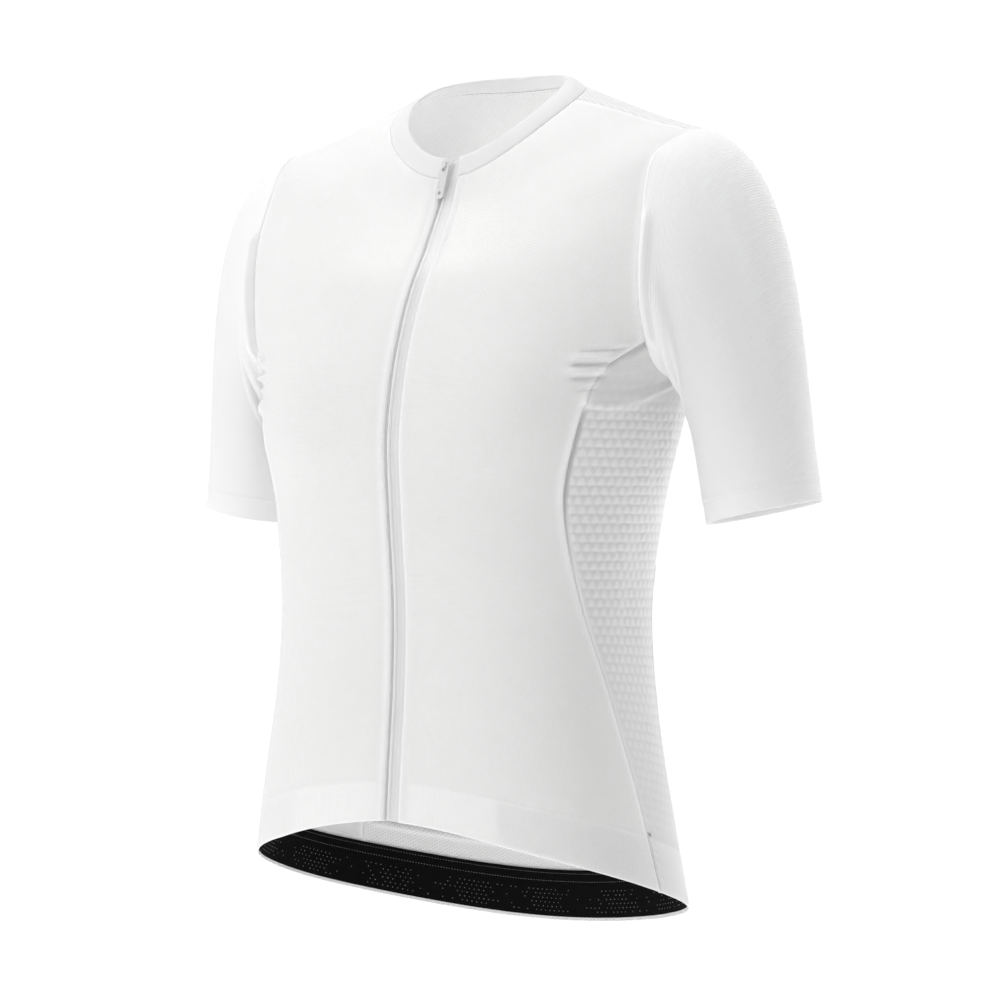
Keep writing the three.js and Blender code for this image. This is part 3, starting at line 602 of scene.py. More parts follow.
def panelLevels(top, spacing, extra=()):
    return np.unique(np.concatenate([spreadAcross(top, spacing)[0], np.asarray(extra, float)]))


def hemLift(level, deep, step):
    # The turned hem lies a little higher, with a fine trough where it is stitched
    turned = step * risesAt(deep, level, 0.5)
    return turned - 0.14 * np.exp(-(((level - deep) / 0.8) ** 2))


def makeFront(side, name, values):
    deep = values["hemDeep"]
    extra = np.concatenate(
        [deep + np.array([-2, -1.2, -0.6, 0, 0.6, 1.2, 2]), np.arange(*values["creased"])]
    )
    levels = panelLevels(form["neck"], values["spacing"], extra)
    outer = edgeLevel(levels)
    girth = torso.girth(levels)
    inner = values["leftEdge"] if side > 0 else values["rightEdge"]
    width = panelEdge(outer, "front") * girth - inner
    x = spreadAcross(width, values["spacing"])
    t = x / width[:, None]
    level = levels[:, None] + (outer - levels)[:, None] * t**2
    share = (inner + x) / girth[:, None]
    away = width[:, None] - x
    lift = np.interp(x, nearEdge, values["leftLip"] if side > 0 else values["rightLip"], right=0)
    lift = lift + besideArmhole(outer, away)
    tucked = (tuckDepth(outer) * (outer < form["panelCorner"]))[:, None]
    lift = lift + values["tuckLip"] * tucked * np.exp(-((away / 3) ** 2))
    lift = lift + np.minimum(0, edgeLift(form["neck"] - levels, seamEdge))[:, None]
    lift = lift + hemLift(level, deep, values["hemStep"])
    lift = lift + np.where(levels < 6.2, edgeLift(levels, hemEdge - 0.25), 0)[:, None]
    points = torsoPoint(side * share, level, lift)
    # The lighter doubled colour at the edges and the hem is partly real doubled cloth and partly painted
    # light, which brightens the round lip by the zip
    layers = np.maximum.reduce([
        np.exp(-((x / 6.5) ** 4)),
        np.exp(-((away / 5.0) ** 4)),
        0.6 * risesAt(deep, level, 0.4),
    ])
    across = share * girth[:, None]
    if side < 0:
        points, level, across, layers = points[:, ::-1], level[:, ::-1], -across[:, ::-1], layers[:, ::-1]
    piece = placeGrid(name, points, across, level, attributes={"layers": layers})
    giveWall(piece, values["thick"])
    finishPiece(piece, cloth["front"], "front_cloth", name.replace("cloth_", ""))
    print(name, "area", round(clothArea(points), 4), "girth", round(float(width.max()), 1))
    return piece


makeFront(1, "cloth_front_left", frontPanel)
makeFront(-1, "cloth_front_right", frontPanel)


# Back panel, one piece from side seam to side seam
backPanel = {
    "spacing": 3.0, "thick": 0.9, "hemDeep": 34, "hemStep": 0.1, "seamLevel": 46.5, "seamWide": 1.8,
    "seamDeep": 2.2,
    "flatCut": (0.46, 0.66), "cutArea": 0.1805,
}


def makeBack(values):
    nearSeam = values["seamLevel"] + np.array([-3.6, -2.4, -1.2, 0, 1.2, 2.4, 3.6])
    levels = panelLevels(form["neck"], values["spacing"], nearSeam)
    outer = edgeLevel(levels)
    edge = panelEdge(outer, "back")
    girth = torso.girth(levels)
    width = (2 - 2 * edge) * girth
    x = spreadAcross(width, values["spacing"])
    t = x / width[:, None]
    level = levels[:, None] + (outer - levels)[:, None] * np.abs(2 * t - 1) ** 2
    share = edge[:, None] + (2 - 2 * edge)[:, None] * t
    nearest = np.minimum(x, width[:, None] - x)
    lift = besideArmhole(outer, nearest)
    lift = lift + np.minimum(0, edgeLift(form["neck"] - levels, seamEdge))[:, None]
    lift = lift + hemLift(level, values["hemDeep"], values["hemStep"])
    lift = lift + np.where(levels < 6.2, edgeLift(levels, hemEdge - 0.25), 0)[:, None]
    # The pockets' lower seam draws the cloth in, so it shows as a rib inside
    rib = values["seamDeep"] * np.exp(-(((level - values["seamLevel"]) / values["seamWide"]) ** 2))
    lift = lift - rib * np.clip((nearest - 2) / 6, 0, 1)
    points = torsoPoint(share, level, lift)
    layers = np.maximum(np.exp(-((nearest / 5.0) ** 4)), risesAt(6, level, 0.4))
    piece = placeGrid(
        "cloth_back", points, (share - 1) * girth[:, None], level, attributes={"layers": layers}
    )
    giveWall(piece, values["thick"])
    finishPiece(piece, cloth["back"], "back_cloth", "back")
    print("cloth_back area", round(clothArea(points), 4), "width", round(float(width.max()), 1))


makeBack(backPanel)


# Side panels, with rows of small raised triangles that fade towards the waist
sidePanel = {
    "spacing": 1.35, "thick": 0.9, "rowHeight": 6.3, "triangle": 7.4, "raise": 0.62, "plainAbove": 324,
    "fadeLow": 60, "fadeHigh": 230,
    "hemDeep": 35, "hemStep": 0.2, "tuckPlace": 1.9, "tuckWide": 1.7, "pucker": 0.4,
    "flatCut": (0.165, 0.39), "cutArea": 0.038,
}


def triangleLift(across, level, values):
    # Each row holds upright triangles that stand proud, with the gaps between them lower
    row = level / values["rowHeight"]
    rowPart = row - np.floor(row)
    shift = 0.5 * (np.floor(row) % 2)
    column = across / values["triangle"] + shift
    columnPart = np.abs(column - np.floor(column) - 0.5) * 2
    inside = (1 - rowPart) - columnPart
    face = risesAt(inside, 0, 0.09)
    edge = np.exp(-((rowPart / 0.13) ** 2)) + np.exp(-(((1 - rowPart) / 0.13) ** 2))
    return values["raise"] * (face * 0.75 - 0.55 * edge)


def makeSide(side, name, values):
    rows = panelLevels(form["panelCorner"], values["spacing"])
    corner = form["panelCorner"]
    girth = torso.girth(rows)
    width = (panelEdge(rows, "back") - panelEdge(rows, "front")) * girth
    x = spreadAcross(width, values["spacing"])
    t = x / width[:, None]
    share = sideShare(rows[:, None], t)
    topShare = sideShare(corner, t)
    level = rows[:, None] * armholeBottom(topShare) / corner
    across = (share - 0.5) * torso.girth(level)
    nearest = np.minimum(x, width[:, None] - x)
    fade = values["fadeLow"], values["fadeHigh"]
    strength = 0.25 + 0.75 * np.clip((level - fade[0]) / (fade[1] - fade[0]), 0, 1)
    strength = strength * np.clip((nearest - 2) / 3, 0, 1) * np.clip((level - 38) / 4, 0, 1)
    strength = strength * (1 - 0.8 * risesAt(level, values["plainAbove"], 2))
    lift = edgeLift(nearest, seamEdge) + triangleLift(across, level, values) * strength
    pucker = np.sin(level * 0.9 + 1.7 * np.sin(level * 0.23)) * np.exp(-(((x - 3.4) / 2.6) ** 2))
    lift = lift + values["pucker"] * pucker * (0.25 + 0.75 * risesAt(70, level, 8))
    lift = lift - tuckDepth(level) * np.exp(
        -((np.maximum(x - values["tuckPlace"], 0) / values["tuckWide"]) ** 2)
    )
    lift = lift + np.minimum(0, edgeLift(corner - rows, armholeEdge))[:, None]
    lift = lift + hemLift(level, values["hemDeep"], values["hemStep"])
    lift = lift + np.where(rows < 6.2, edgeLift(rows, hemEdge - 0.25), 0)[:, None]
    points = torsoPoint(side * share, level, lift)
    # Painted light and shade on the triangles: their raised faces take the lighter doubled colour and the
    # lines between them the darker one
    dense = 0.45 + strength * triangleLift(across, level, values) / values["raise"] * 1.1
    layers = np.maximum.reduce(
        [dense, np.exp(-((nearest / 4.0) ** 4)), risesAt(values["hemDeep"], level, 0.4)]
    )
    if side < 0:
        points, level, across, layers = points[:, ::-1], level[:, ::-1], -across[:, ::-1], layers[:, ::-1]
    piece = placeGrid(name, points, across, level, attributes={"layers": layers})
    giveWall(piece, values["thick"])
    finishPiece(piece, cloth["side"], "side_cloth", name.replace("cloth_", ""))
    print(name, "area", round(clothArea(points), 4), "width", round(float(width.max()), 1), points.shape)


makeSide(1, "cloth_side_left", sidePanel)
makeSide(-1, "cloth_side_right", sidePanel)
print("body panels made")


# Sleeves, from the armhole's seam to the cuff
sleeveForm = {
    "x": 208.7, "y": 20, "z": -292, "halfWide": 38.3, "halfDeep": 44, "lean": 12, "backward": 3,
    "topOut": 245, "bottomOut": 75, "topDown": 215, "bottomDown": 70,
    "topDrop": 0.22, "bottomDrop": 0.1, "flat": 0.6, "smoothing": 6,
    "columns": 168, "spacing": 2.6, "hem": 15.5, "thick": 0.9, "flatCut": (0.42, 0.33), "cutArea": 0.0565,
}
frontCount = form["armholeRows"]
underCount = 8
loopCount = 2 * frontCount + underCount
lowest = loopCount // 2


# A sleeve starts with a narrow allowance turned into the body
sleeveEdge = np.array([-1.8, -0.9, -0.25, 0.1, 0.5, 1.0, 1.6, 2.4, 3.4, 4.8, 6.4])
sleeveEdgeLift = np.array([0, 0, -0.1, -0.24, -0.22, -0.15, -0.08, -0.03, 0, 0, 0])


def loopPlace(q):
    # The place on the torso for a place round the armhole, from the shoulder down the front and up the back
    front = np.interp(frontCount - q, fan, fanEdge)
    back = np.interp(q - frontCount - underCount, fan, fanEdge)
    under = sideShare(form["panelCorner"], np.clip((q - frontCount) / underCount, 0, 1))
    isFront, isBack = q <= frontCount, q >= frontCount + underCount
    share = np.where(isFront, 0.5 - armholeShare(front), np.where(isBack, 0.5 + armholeShare(back), under))
    level = np.where(isFront, front, np.where(isBack, back, armholeBottom(under)))
    return share, level


def periodic(values, q):
    count = len(values)
    i = np.floor(q).astype(int)
    t = (q - i)[:, None]
    a, b, c, d = (values[(i + k) % count] for k in (-1, 0, 1, 2))
    return b + 0.5 * t * (c - a + t * (2 * a - 5 * b + 4 * c - d + t * (3 * (b - c) + d - a)))


def sleeveGrid(side, values):
    dense = np.linspace(0, loopCount, loopCount * 60 + 1)
    share, level = loopPlace(dense)
    line = torsoPoint(side * share, level, 0.0)
    run = np.concatenate([[0], np.cumsum(np.linalg.norm(np.diff(line, axis=0), axis=1))])
    q = np.interp(np.linspace(0, run[-1], values["columns"] + 1), run, dense)
    runLow = np.interp(lowest, dense, run)

    def halfAt(place):
        r = np.interp(place, dense, run)
        return np.where(
            place <= lowest, math.pi * r / runLow, math.pi + math.pi * (r - runLow) / (run[-1] - runLow)
        )

    coarse = np.arange(loopCount).astype(float)
    share, level = loopPlace(coarse)
    marks = torsoPoint(side * share, level, 0.0)
    normals = torso.normal(side * share, level)
    edges = unit(np.roll(marks, -1, 0) - np.roll(marks, 1, 0))
    leave = unit(np.cross(normals, edges) * side)
    topness = 0.5 + 0.5 * np.cos(halfAt(coarse))
    drop = values["bottomDrop"] + (values["topDrop"] - values["bottomDrop"]) * topness
    follow = (values["flat"] * topness**0.7)[:, None]
    down = unit(np.stack([np.full(loopCount, float(side)), np.zeros(loopCount), -drop], axis=-1))
    starts = leave * follow + down * (1 - follow)
    for _ in range(values["smoothing"]):
        starts = (2 * starts + np.roll(starts, -1, 0) + np.roll(starts, 1, 0)) / 4
    lean, backward = math.sin(math.radians(values["lean"])), math.sin(math.radians(values["backward"]))
    axis = unit(np.array([side * lean, backward, -1.0]))
    outward = unit(np.array([side, 0.0, 0.0]) - axis * side * axis[0])
    forward = unit(np.cross(axis, outward) * side)
    centre = np.array([side * values["x"], values["y"], values["z"]])
    share, level = loopPlace(q)
    point = torsoPoint(side * share, level, 0.0)
    half = halfAt(q)
    top = (0.5 + 0.5 * np.cos(half))[:, None]
    end = centre + outward * (values["halfWide"] * np.cos(half))[:, None]
    end = end + forward * (values["halfDeep"] * np.sin(half))[:, None]
    start = unit(periodic(starts, q)) * (
        values["bottomOut"] + (values["topOut"] - values["bottomOut"]) * top
    )
    finish = axis * (values["bottomDown"] + (values["topDown"] - values["bottomDown"]) * top)
    t = np.linspace(0, 1, 121)[:, None, None]
    strands = (
        (2 * t**3 - 3 * t**2 + 1) * point + (t**3 - 2 * t**2 + t) * start
        + (3 * t**2 - 2 * t**3) * end + (t**3 - t**2) * finish
    )
    steps = np.linalg.norm(np.diff(strands, axis=0), axis=-1)
    along = np.concatenate([np.zeros((1, strands.shape[1])), np.cumsum(steps, axis=0)])
    length = along[-1]
    hemRows = np.array([22, 19, 17.4, 16.5, 16, 15.5, 15, 14.4, 13.4, 11.5, 9, 6.5, 4.2, 2.4, 1.2, 0.4, 0])
    count = int((length.max() - 30) / values["spacing"])
    middle = sleeveEdge[-1] + (
        length[None, :] - sleeveEdge[-1] - hemRows[0]
    ) * (np.arange(1, count) / count)[:, None]
    place = np.concatenate(
        [np.repeat(sleeveEdge[:, None], len(q), 1), middle, length[None, :] - hemRows[:, None]]
    )
    grid = np.empty((len(place), len(q), 3))
    for c in range(len(q)):
        for k in range(3):
            grid[:, c, k] = np.interp(place[:, c], along[:, c], strands[:, c, k])
    grid = grid + np.minimum(place, 0)[..., None] * torso.normal(side * share, level)[None]
    return grid, place, length, half


def closedNormals(grid, side):
    ring = grid[:, :-1]
    along = np.roll(ring, -1, axis=1) - np.roll(ring, 1, axis=1)
    down = np.gradient(ring, axis=0)
    normals = unit(np.cross(down, along) * side)
    return np.concatenate([normals, normals[:, :1]], axis=1)


# Soft creases on a sleeve. turn0 and turn1 are degrees round the arm from its top by the front, and down0
# and down1
# are millimetres from the armhole. turn0, down0, turn1, down1, width, height
sleeveCreases = [
    (80, 2.4, 138, 3.4, 3.4, -4.5),
    (110, 8, 165, 20, 8, -2.6),
    (118, 14, 150, 46, 7, -1.3),
    (150, 22, 176, 40, 6, 1.0),
    (212, 10, 250, 52, 8, -1.4),
    (196, 14, 224, 40, 6, 1.0),
]


def makeSleeve(side, name, values):
    grid, place, length, half = sleeveGrid(side, values)
    normals = closedNormals(grid, side)
    left = length[None, :] - place
    lift = np.interp(place, sleeveEdge, sleeveEdgeLift)
    lift = lift + 0.24 * risesAt(values["hem"], left, 0.4) - 0.5 * np.exp(
        -(((left - values["hem"]) / 0.8) ** 2)
    )
    lift = lift - 0.3 * np.exp(-((left / 0.7) ** 2))
    turn = np.degrees(half)[None, :]
    for turn0, down0, turn1, down1, width, height in sleeveCreases:
        scale = 0.8
        ax, ay = (turn - turn0) * scale, place - down0
        dx, dy = (turn1 - turn0) * scale, down1 - down0
        span = math.hypot(dx, dy)
        along = (ax * dx + ay * dy) / span
        across = (ay * dx - ax * dy) / span
        past = np.maximum(0, np.maximum(-along, along - span))
        fold = height * np.exp(-((across / width) ** 2) - (past / (width * 1.6)) ** 2)
        lift = lift + fold * np.clip(place / 2, 0, 1)
    points = grid + normals * lift[..., None]
    layers = np.maximum(risesAt(values["hem"], left, 0.3), np.exp(-((place / 5.0) ** 4)))
    across = np.broadcast_to(np.linspace(0, 1, grid.shape[1]) * 250, place.shape)
    up = -place
    if side > 0:
        points, across, up, layers = points[::-1], across[::-1], up[::-1], layers[::-1]
    piece = placeGrid(name, points, across, up, closed=True, attributes={"layers": layers})
    giveWall(piece, values["thick"])
    finishPiece(piece, cloth["sleeve"], "sleeve_cloth", name.replace("cloth_", ""))
    print(
        name, "area", round(clothArea(points), 4), "length", round(float(length.max()), 1),
        round(float(length.min()), 1), points.shape
    )
    return grid, place, length, normals


sleeves = {
    side: makeSleeve(side, name, sleeveForm) for side,
    name in ((1, "cloth_sleeve_left"), (-1, "cloth_sleeve_right"))
}
print("sleeves made")


# Collar: a folded band whose section is given as places up the band and how far they stand out
collarBand = {
    "leftEdge": 9.4, "rightEdge": 1.0, "spacing": 2.2, "thick": 0.45, "flatCut": (0.375, 0.036),
    "cutArea": 0.0114,
    "section": [
        (0.0, -1.0), (0.0, -0.6), (0.5, -0.15), (1.2, 0.16), (2.4, 0.42), (4.5, 0.56), (7.5, 0.6),
        (10.5, 0.58), (13, 0.46),
        (14.6, 0.26), (15.6, -0.08), (16, -0.55), (16, -1.05), (15.6, -1.5), (14.6, -1.75), (12, -1.85),
        (9, -1.85),
        (6, -1.85), (4.2, -1.85), (3.4, -1.95), (2.6, -2.05), (1.6, -2.0), (0.6, -1.8),
    ],
}


def makeCollar(values):
    section = np.array(values["section"])
    girth = neckband.girth(0.0)
    start, end = values["leftEdge"] / girth, 2 - values["rightEdge"] / girth
    x = spreadAcross((end - start) * girth, values["spacing"])
    share = start + x / girth
    ends = np.minimum(x, x.max() - x)
    pinch = np.clip(ends / 1.4, 0, 1) ** 0.5
    level = np.repeat(section[:, :1], x.shape[1], axis=1)
    lift = section[:, 1:] * pinch + -0.7 * (1 - pinch)
    share = np.repeat(share, len(section), axis=0)
    points = neckband.point(share, level) + neckband.normal(
        share, np.clip(level, 0.6, 15.4)
    ) * lift[..., None]
    run = np.concatenate([[0], np.cumsum(np.hypot(*np.diff(section, axis=0).T))])
    piece = placeGrid(
        "cloth_collar", points, np.repeat(x, len(section), axis=0), run[:, None], attributes={"layers": 0.5}
    )
    giveWall(piece, values["thick"])
    finishPiece(piece, cloth["collar"], "collar_cloth", "collar")
    print("cloth_collar area", round(clothArea(points), 4), "length", round(float(x.max()), 1))


makeCollar(collarBand)


# Zip: two woven tapes whose inner edges are round beads, and the coil's teeth behind the gap between them
zipForm = {
    "leftTape": [
        (0.25, -2.4), (0.1, -1.6), (0.35, -0.9), (0.9, -0.56), (1.6, -0.6), (2.15, -1.0), (2.6, -1.55),
        (3.4, -1.62),
        (5.4, -1.58), (5.75, -1.72), (6.1, -1.58), (8.6, -1.58), (11, -1.55), (13.5, -1.55), (16, -1.55),
    ],
    "rightTape": [
        (-10.6, -1.55), (-7, -1.55), (-4, -1.56), (-2.2, -1.5), (-1.1, -1.35), (-0.4, -1.5), (-0.25, -2.3)
    ],
    "thick": 0.55, "spacing": 3.0, "parting": (563.0, 570.0, 1.7), "toothPitch": 1.27, "toothHalf": 2.3,
}


def zipPoint(x, height, lift):
    # A place beside the zip's middle line: up the torso, and then up the collar
    onTorso = height <= form["neck"]
    torsoShare = x / torso.girth(np.minimum(height, form["neck"]))
    bandLevel = np.clip(height - form["neck"], 0, form["collar"])
    bandShare = x / neckband.girth(bandLevel)
    low = torso.point(torsoShare, height) + torso.normal(0 * x, np.clip(height, 4, 556)) * lift[..., None]
    high = neckband.point(bandShare, bandLevel) + neckband.normal(
        0 * x, np.clip(bandLevel, 1, 15)
    ) * lift[..., None]
    return np.where(onTorso[..., None], low, high)


def makeTape(name, section, node, values):
    section = np.array(section)
    heights = np.arange(0.3, form["neck"] + form["collar"] - 0.2, values["spacing"])[:, None]
    start, full, amount = values["parting"]
    part = amount * np.clip((heights - start) / (full - start), 0, 1)
    x = section[None, :, 0] + np.sign(section[None, :, 0]) * part * (np.abs(section[None, :, 0]) < 4)
    lift = np.broadcast_to(section[None, :, 1], x.shape)
    height = np.broadcast_to(heights, x.shape)
    points = zipPoint(x, height, lift)
    # Painted light and shade: the round bead takes the lighter doubled colour as painted light, and the
    # flat tape in the recess a darker colour as painted shade
    bead = (np.abs(section[None, :, 0]) < 2.3) & (section[None, :, 0] > 0)
    piece = placeGrid(name, points, x, height, attributes={"layers": bead.astype(float)})
    giveWall(piece, values["thick"])
    finishPiece(piece, cloth["tape"], "zip_tape", node)


makeTape("zip_tape_woven_left", zipForm["leftTape"], "zip_tape_left", zipForm)
makeTape("zip_tape_woven_right", zipForm["rightTape"], "zip_tape_right", zipForm)


def manyOf(name, template, places, material, slot, *nodes):
    # Copies of one small mesh, each turned and moved by its own matrix, joined into one piece
    small = bpy.data.meshes.new(name + "_one")
    template.to_mesh(small)
    template.free()
    joined = bmesh.new()
    for place in places:
        copy = small.copy()
        copy.transform(Matrix(place.tolist()))
        joined.from_mesh(copy)
        bpy.data.meshes.remove(copy)
    bpy.data.meshes.remove(small)
    bmesh.ops.scale(joined, verts=joined.verts, vec=(0.001, 0.001, 0.001))
    mesh = bpy.data.meshes.new(name)
    joined.to_mesh(mesh)
    joined.free()
    mesh.shade_smooth()
    piece = bpy.data.objects.new(name, mesh)
    scene.collection.objects.link(piece)
    return finishPiece(piece, material, slot, *nodes)


def bead(long, wide, tall):
    bm = bmesh.new()
    bmesh.ops.create_icosphere(bm, subdivisions=1, radius=1)
    bmesh.ops.scale(bm, verts=bm.verts, vec=(long / 2, wide / 2, tall / 2))
    return bm


def matrices(origin, forward, normal):
    forward = unit(forward)
    sideways = unit(np.cross(normal, forward))
    upward = np.cross(forward, sideways)
    made = np.zeros((len(origin), 4, 4))
    made[:, :3, 0], made[:, :3, 1], made[:, :3, 2], made[:, :3, 3] = forward, sideways, upward, origin
    made[:, 3, 3] = 1
    return made


def makeTeeth(values):
    heights = np.arange(1.5, form["neck"] + 2, values["toothPitch"])
    origin = zipPoint(np.zeros_like(heights), heights, np.full_like(heights, -3.0))
    across = zipPoint(np.ones_like(heights), heights, np.full_like(heights, -3.0)) - origin
    normal = torso.normal(np.zeros_like(heights), np.minimum(heights, 556))
    tooth = bead(values["toothHalf"] * 2, 0.82, 1.1)
    manyOf("zip_coil_teeth", tooth, matrices(origin, across, normal), teethPlastic, "zip_teeth", "zip_coil")


makeTeeth(zipForm)
print("zip made")


def lineStitches(points, normals, pitch, swing=0.0):
    # Stitches along a line of points. With a swing they zigzag across it.
    run = np.concatenate([[0], np.cumsum(np.linalg.norm(np.diff(points, axis=0), axis=1))])
    count = int(run[-1] / pitch)
    middle = (np.arange(count) + 0.5) * pitch
    read = lambda field, at: np.stack([np.interp(at, run, field[:, k]) for k in range(3)], axis=-1)
    origin, normal = read(points, middle), unit(read(normals, middle))
    forward = unit(
        read(points, np.minimum(middle + 0.5, run[-1])) - read(points, np.maximum(middle - 0.5, 0))
    )
    if swing:
        sideways = np.cross(normal, forward)
        forward = forward * pitch + sideways * (swing * np.where(np.arange(count) % 2, 1, -1))[:, None]
    return matrices(origin, forward, normal)


# Gripper: a black elastic band inside the hem, with twin stitch rows and small silicone dots
gripperBand = {
    "low": 2.5, "high": 32.5, "lift": -1.25, "thick": 0.85, "spacing": 3.0, "sewn": (30.3, 25.2),
    "stitch": 2.1,
    "dotPitch": 2.7, "dotSize": 0.85, "dotCluster": 62, "flatCut": (0.78, 0.03),
}


def makeGripper(values):
    girth = torso.girth(0.0)
    inner = 3.2 / girth
    start = inner + (0.475 - inner) * 0.4
    shares = np.linspace(start, 2 - start, int((2 - 2 * start) * girth / values["spacing"]))
    levels = np.unique(
        np.concatenate(
            [
                np.linspace(values["low"], values["high"], 15),
                [3.1, 31.9, 30.9, 30.3, 29.7, 25.8, 25.2, 24.6]
            ]
        )
    )
    lift = np.full(len(levels), float(values["lift"]))
    for row in values["sewn"]:
        lift += 0.18 * np.exp(-(((levels - row) / 0.7) ** 2))
    share, level = np.meshgrid(shares, levels)
    points = torso.point(share, level) + torso.normal(share, level) * lift[:, None, None]
    piece = placeGrid("gripper_band", points, share * girth, level, attributes={"layers": 0.0})
    giveWall(piece, values["thick"])
    finishPiece(piece, cloth["gripper"], "gripper_elastic", "hem_gripper")
    random = np.random.default_rng(7)
    inside = values["lift"] - values["thick"]
    rows = []
    for row in values["sewn"]:
        line = torso.point(shares, row) + torso.normal(shares, row) * (inside + 0.06)
        rows.append(lineStitches(line, -torso.normal(shares, row), values["stitch"]))
    sewing = manyOf(
        "gripper_sewing", bead(0.95, 0.5, 0.36), np.concatenate(rows), threadGrey, "gripper_elastic"
    )
    # Dots stand in staggered rows that thin out and thicken again along the band
    place, height = [], []
    for k, level in enumerate(np.arange(6.0, 22.0, values["dotPitch"])):
        step = values["dotPitch"] * 1.4 / girth
        row = np.arange(start + step * (1 + 0.5 * (k % 2)), 2 - start - step, step)
        place.append(row)
        height.append(np.full(len(row), level))
    place, height = np.concatenate(place), np.concatenate(height)
    cluster = 0.5 + 0.5 * np.cos(place * girth / values["dotCluster"] * 2 * math.pi)
    keep = random.random(len(place)) < 0.12 + 0.85 * cluster
    place, height = place[keep], height[keep]
    normal = torso.normal(place, height)
    origin = torso.point(place, height) + normal * (inside - 0.03)
    along = torso.point(place + 0.002, height) - torso.point(place - 0.002, height)
    size = values["dotSize"]
    turns = matrices(origin, along, -normal)
    turns[:, :3, :3] *= random.uniform(0.8, 1.1, len(origin))[:, None, None]
    dots = manyOf("gripper_dots", bead(size, size, size * 0.6), turns, silicone, "gripper_elastic")


makeGripper(gripperBand)

# Back pockets: one panel over the lower back, sewn down in three. The dividing seams are shares of its
# width.
backPockets = {
    "low": 48.3, "high": 217.5, "lift": 1.5, "thick": 0.8, "spacing": 3.0, "hem": 14,
    "divides": (0.345, 0.655), "divideWide": 2.6, "divideDeep": 0.75, "fullness": 2.2,
    "flatCut": (0.4, 0.17), "cutArea": 0.054,
}


def pocketFullness(t, wide, values):
    # 0 on the dividing seams, and 1 from 40 mm away
    first, second = values["divides"]
    return np.clip(np.minimum(np.abs(t - first), np.abs(t - second)) * wide / 40, 0, 1)


def makePockets(values):
    levels = values["low"] + spreadAcross(values["high"] - values["low"], values["spacing"])[0]
    edge = panelEdge(levels, "back")
    girth = torso.girth(levels)
    width = (2 - 2 * edge) * girth
    x = spreadAcross(width, values["spacing"])
    t = x / width[:, None]
    share = edge[:, None] + (2 - 2 * edge)[:, None] * t
    level = np.repeat(levels[:, None], x.shape[1], axis=1)
    nearest = np.minimum(x, width[:, None] - x)
    up = (levels - values["low"]) / (values["high"] - values["low"])
    divide = sum(
        np.exp(-(((t - part) * width[:, None] / values["divideWide"]) ** 2)) for part in values["divides"]
    )
    full = pocketFullness(t, width[:, None], values)
    ease = values["fullness"] * (
        full * np.clip(nearest / 30, 0, 1)
    ) ** 0.8 * (0.25 + 0.75 * up[:, None] ** 1.5)
    seam = values["high"] - values["hem"]
    hem = 0.3 * risesAt(levels, seam, 0.5) - 0.5 * np.exp(-(((levels - seam) / 0.9) ** 2))
    lift = values["lift"] + ease - values["divideDeep"] * divide + hem[:, None]
    lift = lift + 0.6 * edgeLift(nearest, seamEdge)
    lift = lift + np.where(
        levels - values["low"] < 6.2, edgeLift(levels - values["low"], seamEdge) * 0.7, 0
    )[:, None]
    points = torso.point(share, level) + torso.normal(share, level) * lift[..., None]
    layers = np.maximum(np.exp(-((nearest / 4.0) ** 4)), risesAt(level, seam, 0.4))
    piece = placeGrid(
        "cloth_back_pockets", points, (share - 1) * girth[:, None], level, attributes={"layers": layers}
    )
    giveWall(piece, values["thick"])
    finishPiece(piece, cloth["back"], "back_cloth", "back_pockets")
    rows = []
    for part in values["divides"]:
        for offset in (-1.1, 1.1):
            places = edge + (2 - 2 * edge) * (part + offset / width)
            normal = torso.normal(places, levels)
            here = torso.point(places, levels) + normal * (values["lift"] - 0.55 + hem)[:, None]
            rows.append(lineStitches(here, normal, 2.4))
        centre = edge[-8] + (2 - 2 * edge[-8]) * part
        for k in range(9):
            level = values["high"] - 2 - k * 0.8
            across = centre + np.array([-1.6, 1.6]) / float(torso.girth(level))
            normal = torso.normal(across, level)
            rows.append(
                lineStitches(torso.point(across, level) + normal * (values["lift"] + 0.25), normal, 3.2)
            )
    seamShare = float(np.interp(seam, levels, edge))
    for offset in (-1.0, 1.0):
        share = np.linspace(seamShare + 0.01, 1.99 - seamShare, 240)
        t = (share - share[0]) / (share[-1] - share[0])
        wide = (share[-1] - share[0]) * float(torso.girth(seam))
        full = pocketFullness(t, wide, values) * np.clip(np.minimum(t, 1 - t) * wide / 30, 0, 1)
        normal = torso.normal(share, seam + offset)
        height = values["lift"] + values["fullness"] * full**0.8 * (0.25 + 0.75 * 0.875) - 0.2
        rows.append(
            lineStitches(torso.point(share, seam + offset) + normal * height[:, None], normal, 2.2, 0.5)
        )
    sewing = manyOf("pocket_sewing", bead(1.9, 0.45, 0.4), np.concatenate(rows), threadWhite, "back_cloth")
    print("pockets area", round(clothArea(points), 4), "width", round(float(width.max()), 1))


makePockets(backPockets)
print("gripper and pockets made")


# Sewing on the cuffs and the front hem. Levels and distances from an edge are in millimetres.
cuffSewing = {"rows": (14.6, 17.2), "pitch": 1.5, "swing": 0.9}
hemSewing = {"level": 35.0, "left": 12.0, "right": 7.0, "pitch": 3.0}
sideSewing = {"beside": (1.6, 7.5), "low": 2, "high": 35.5, "pitch": 1.8, "swing": 0.7}


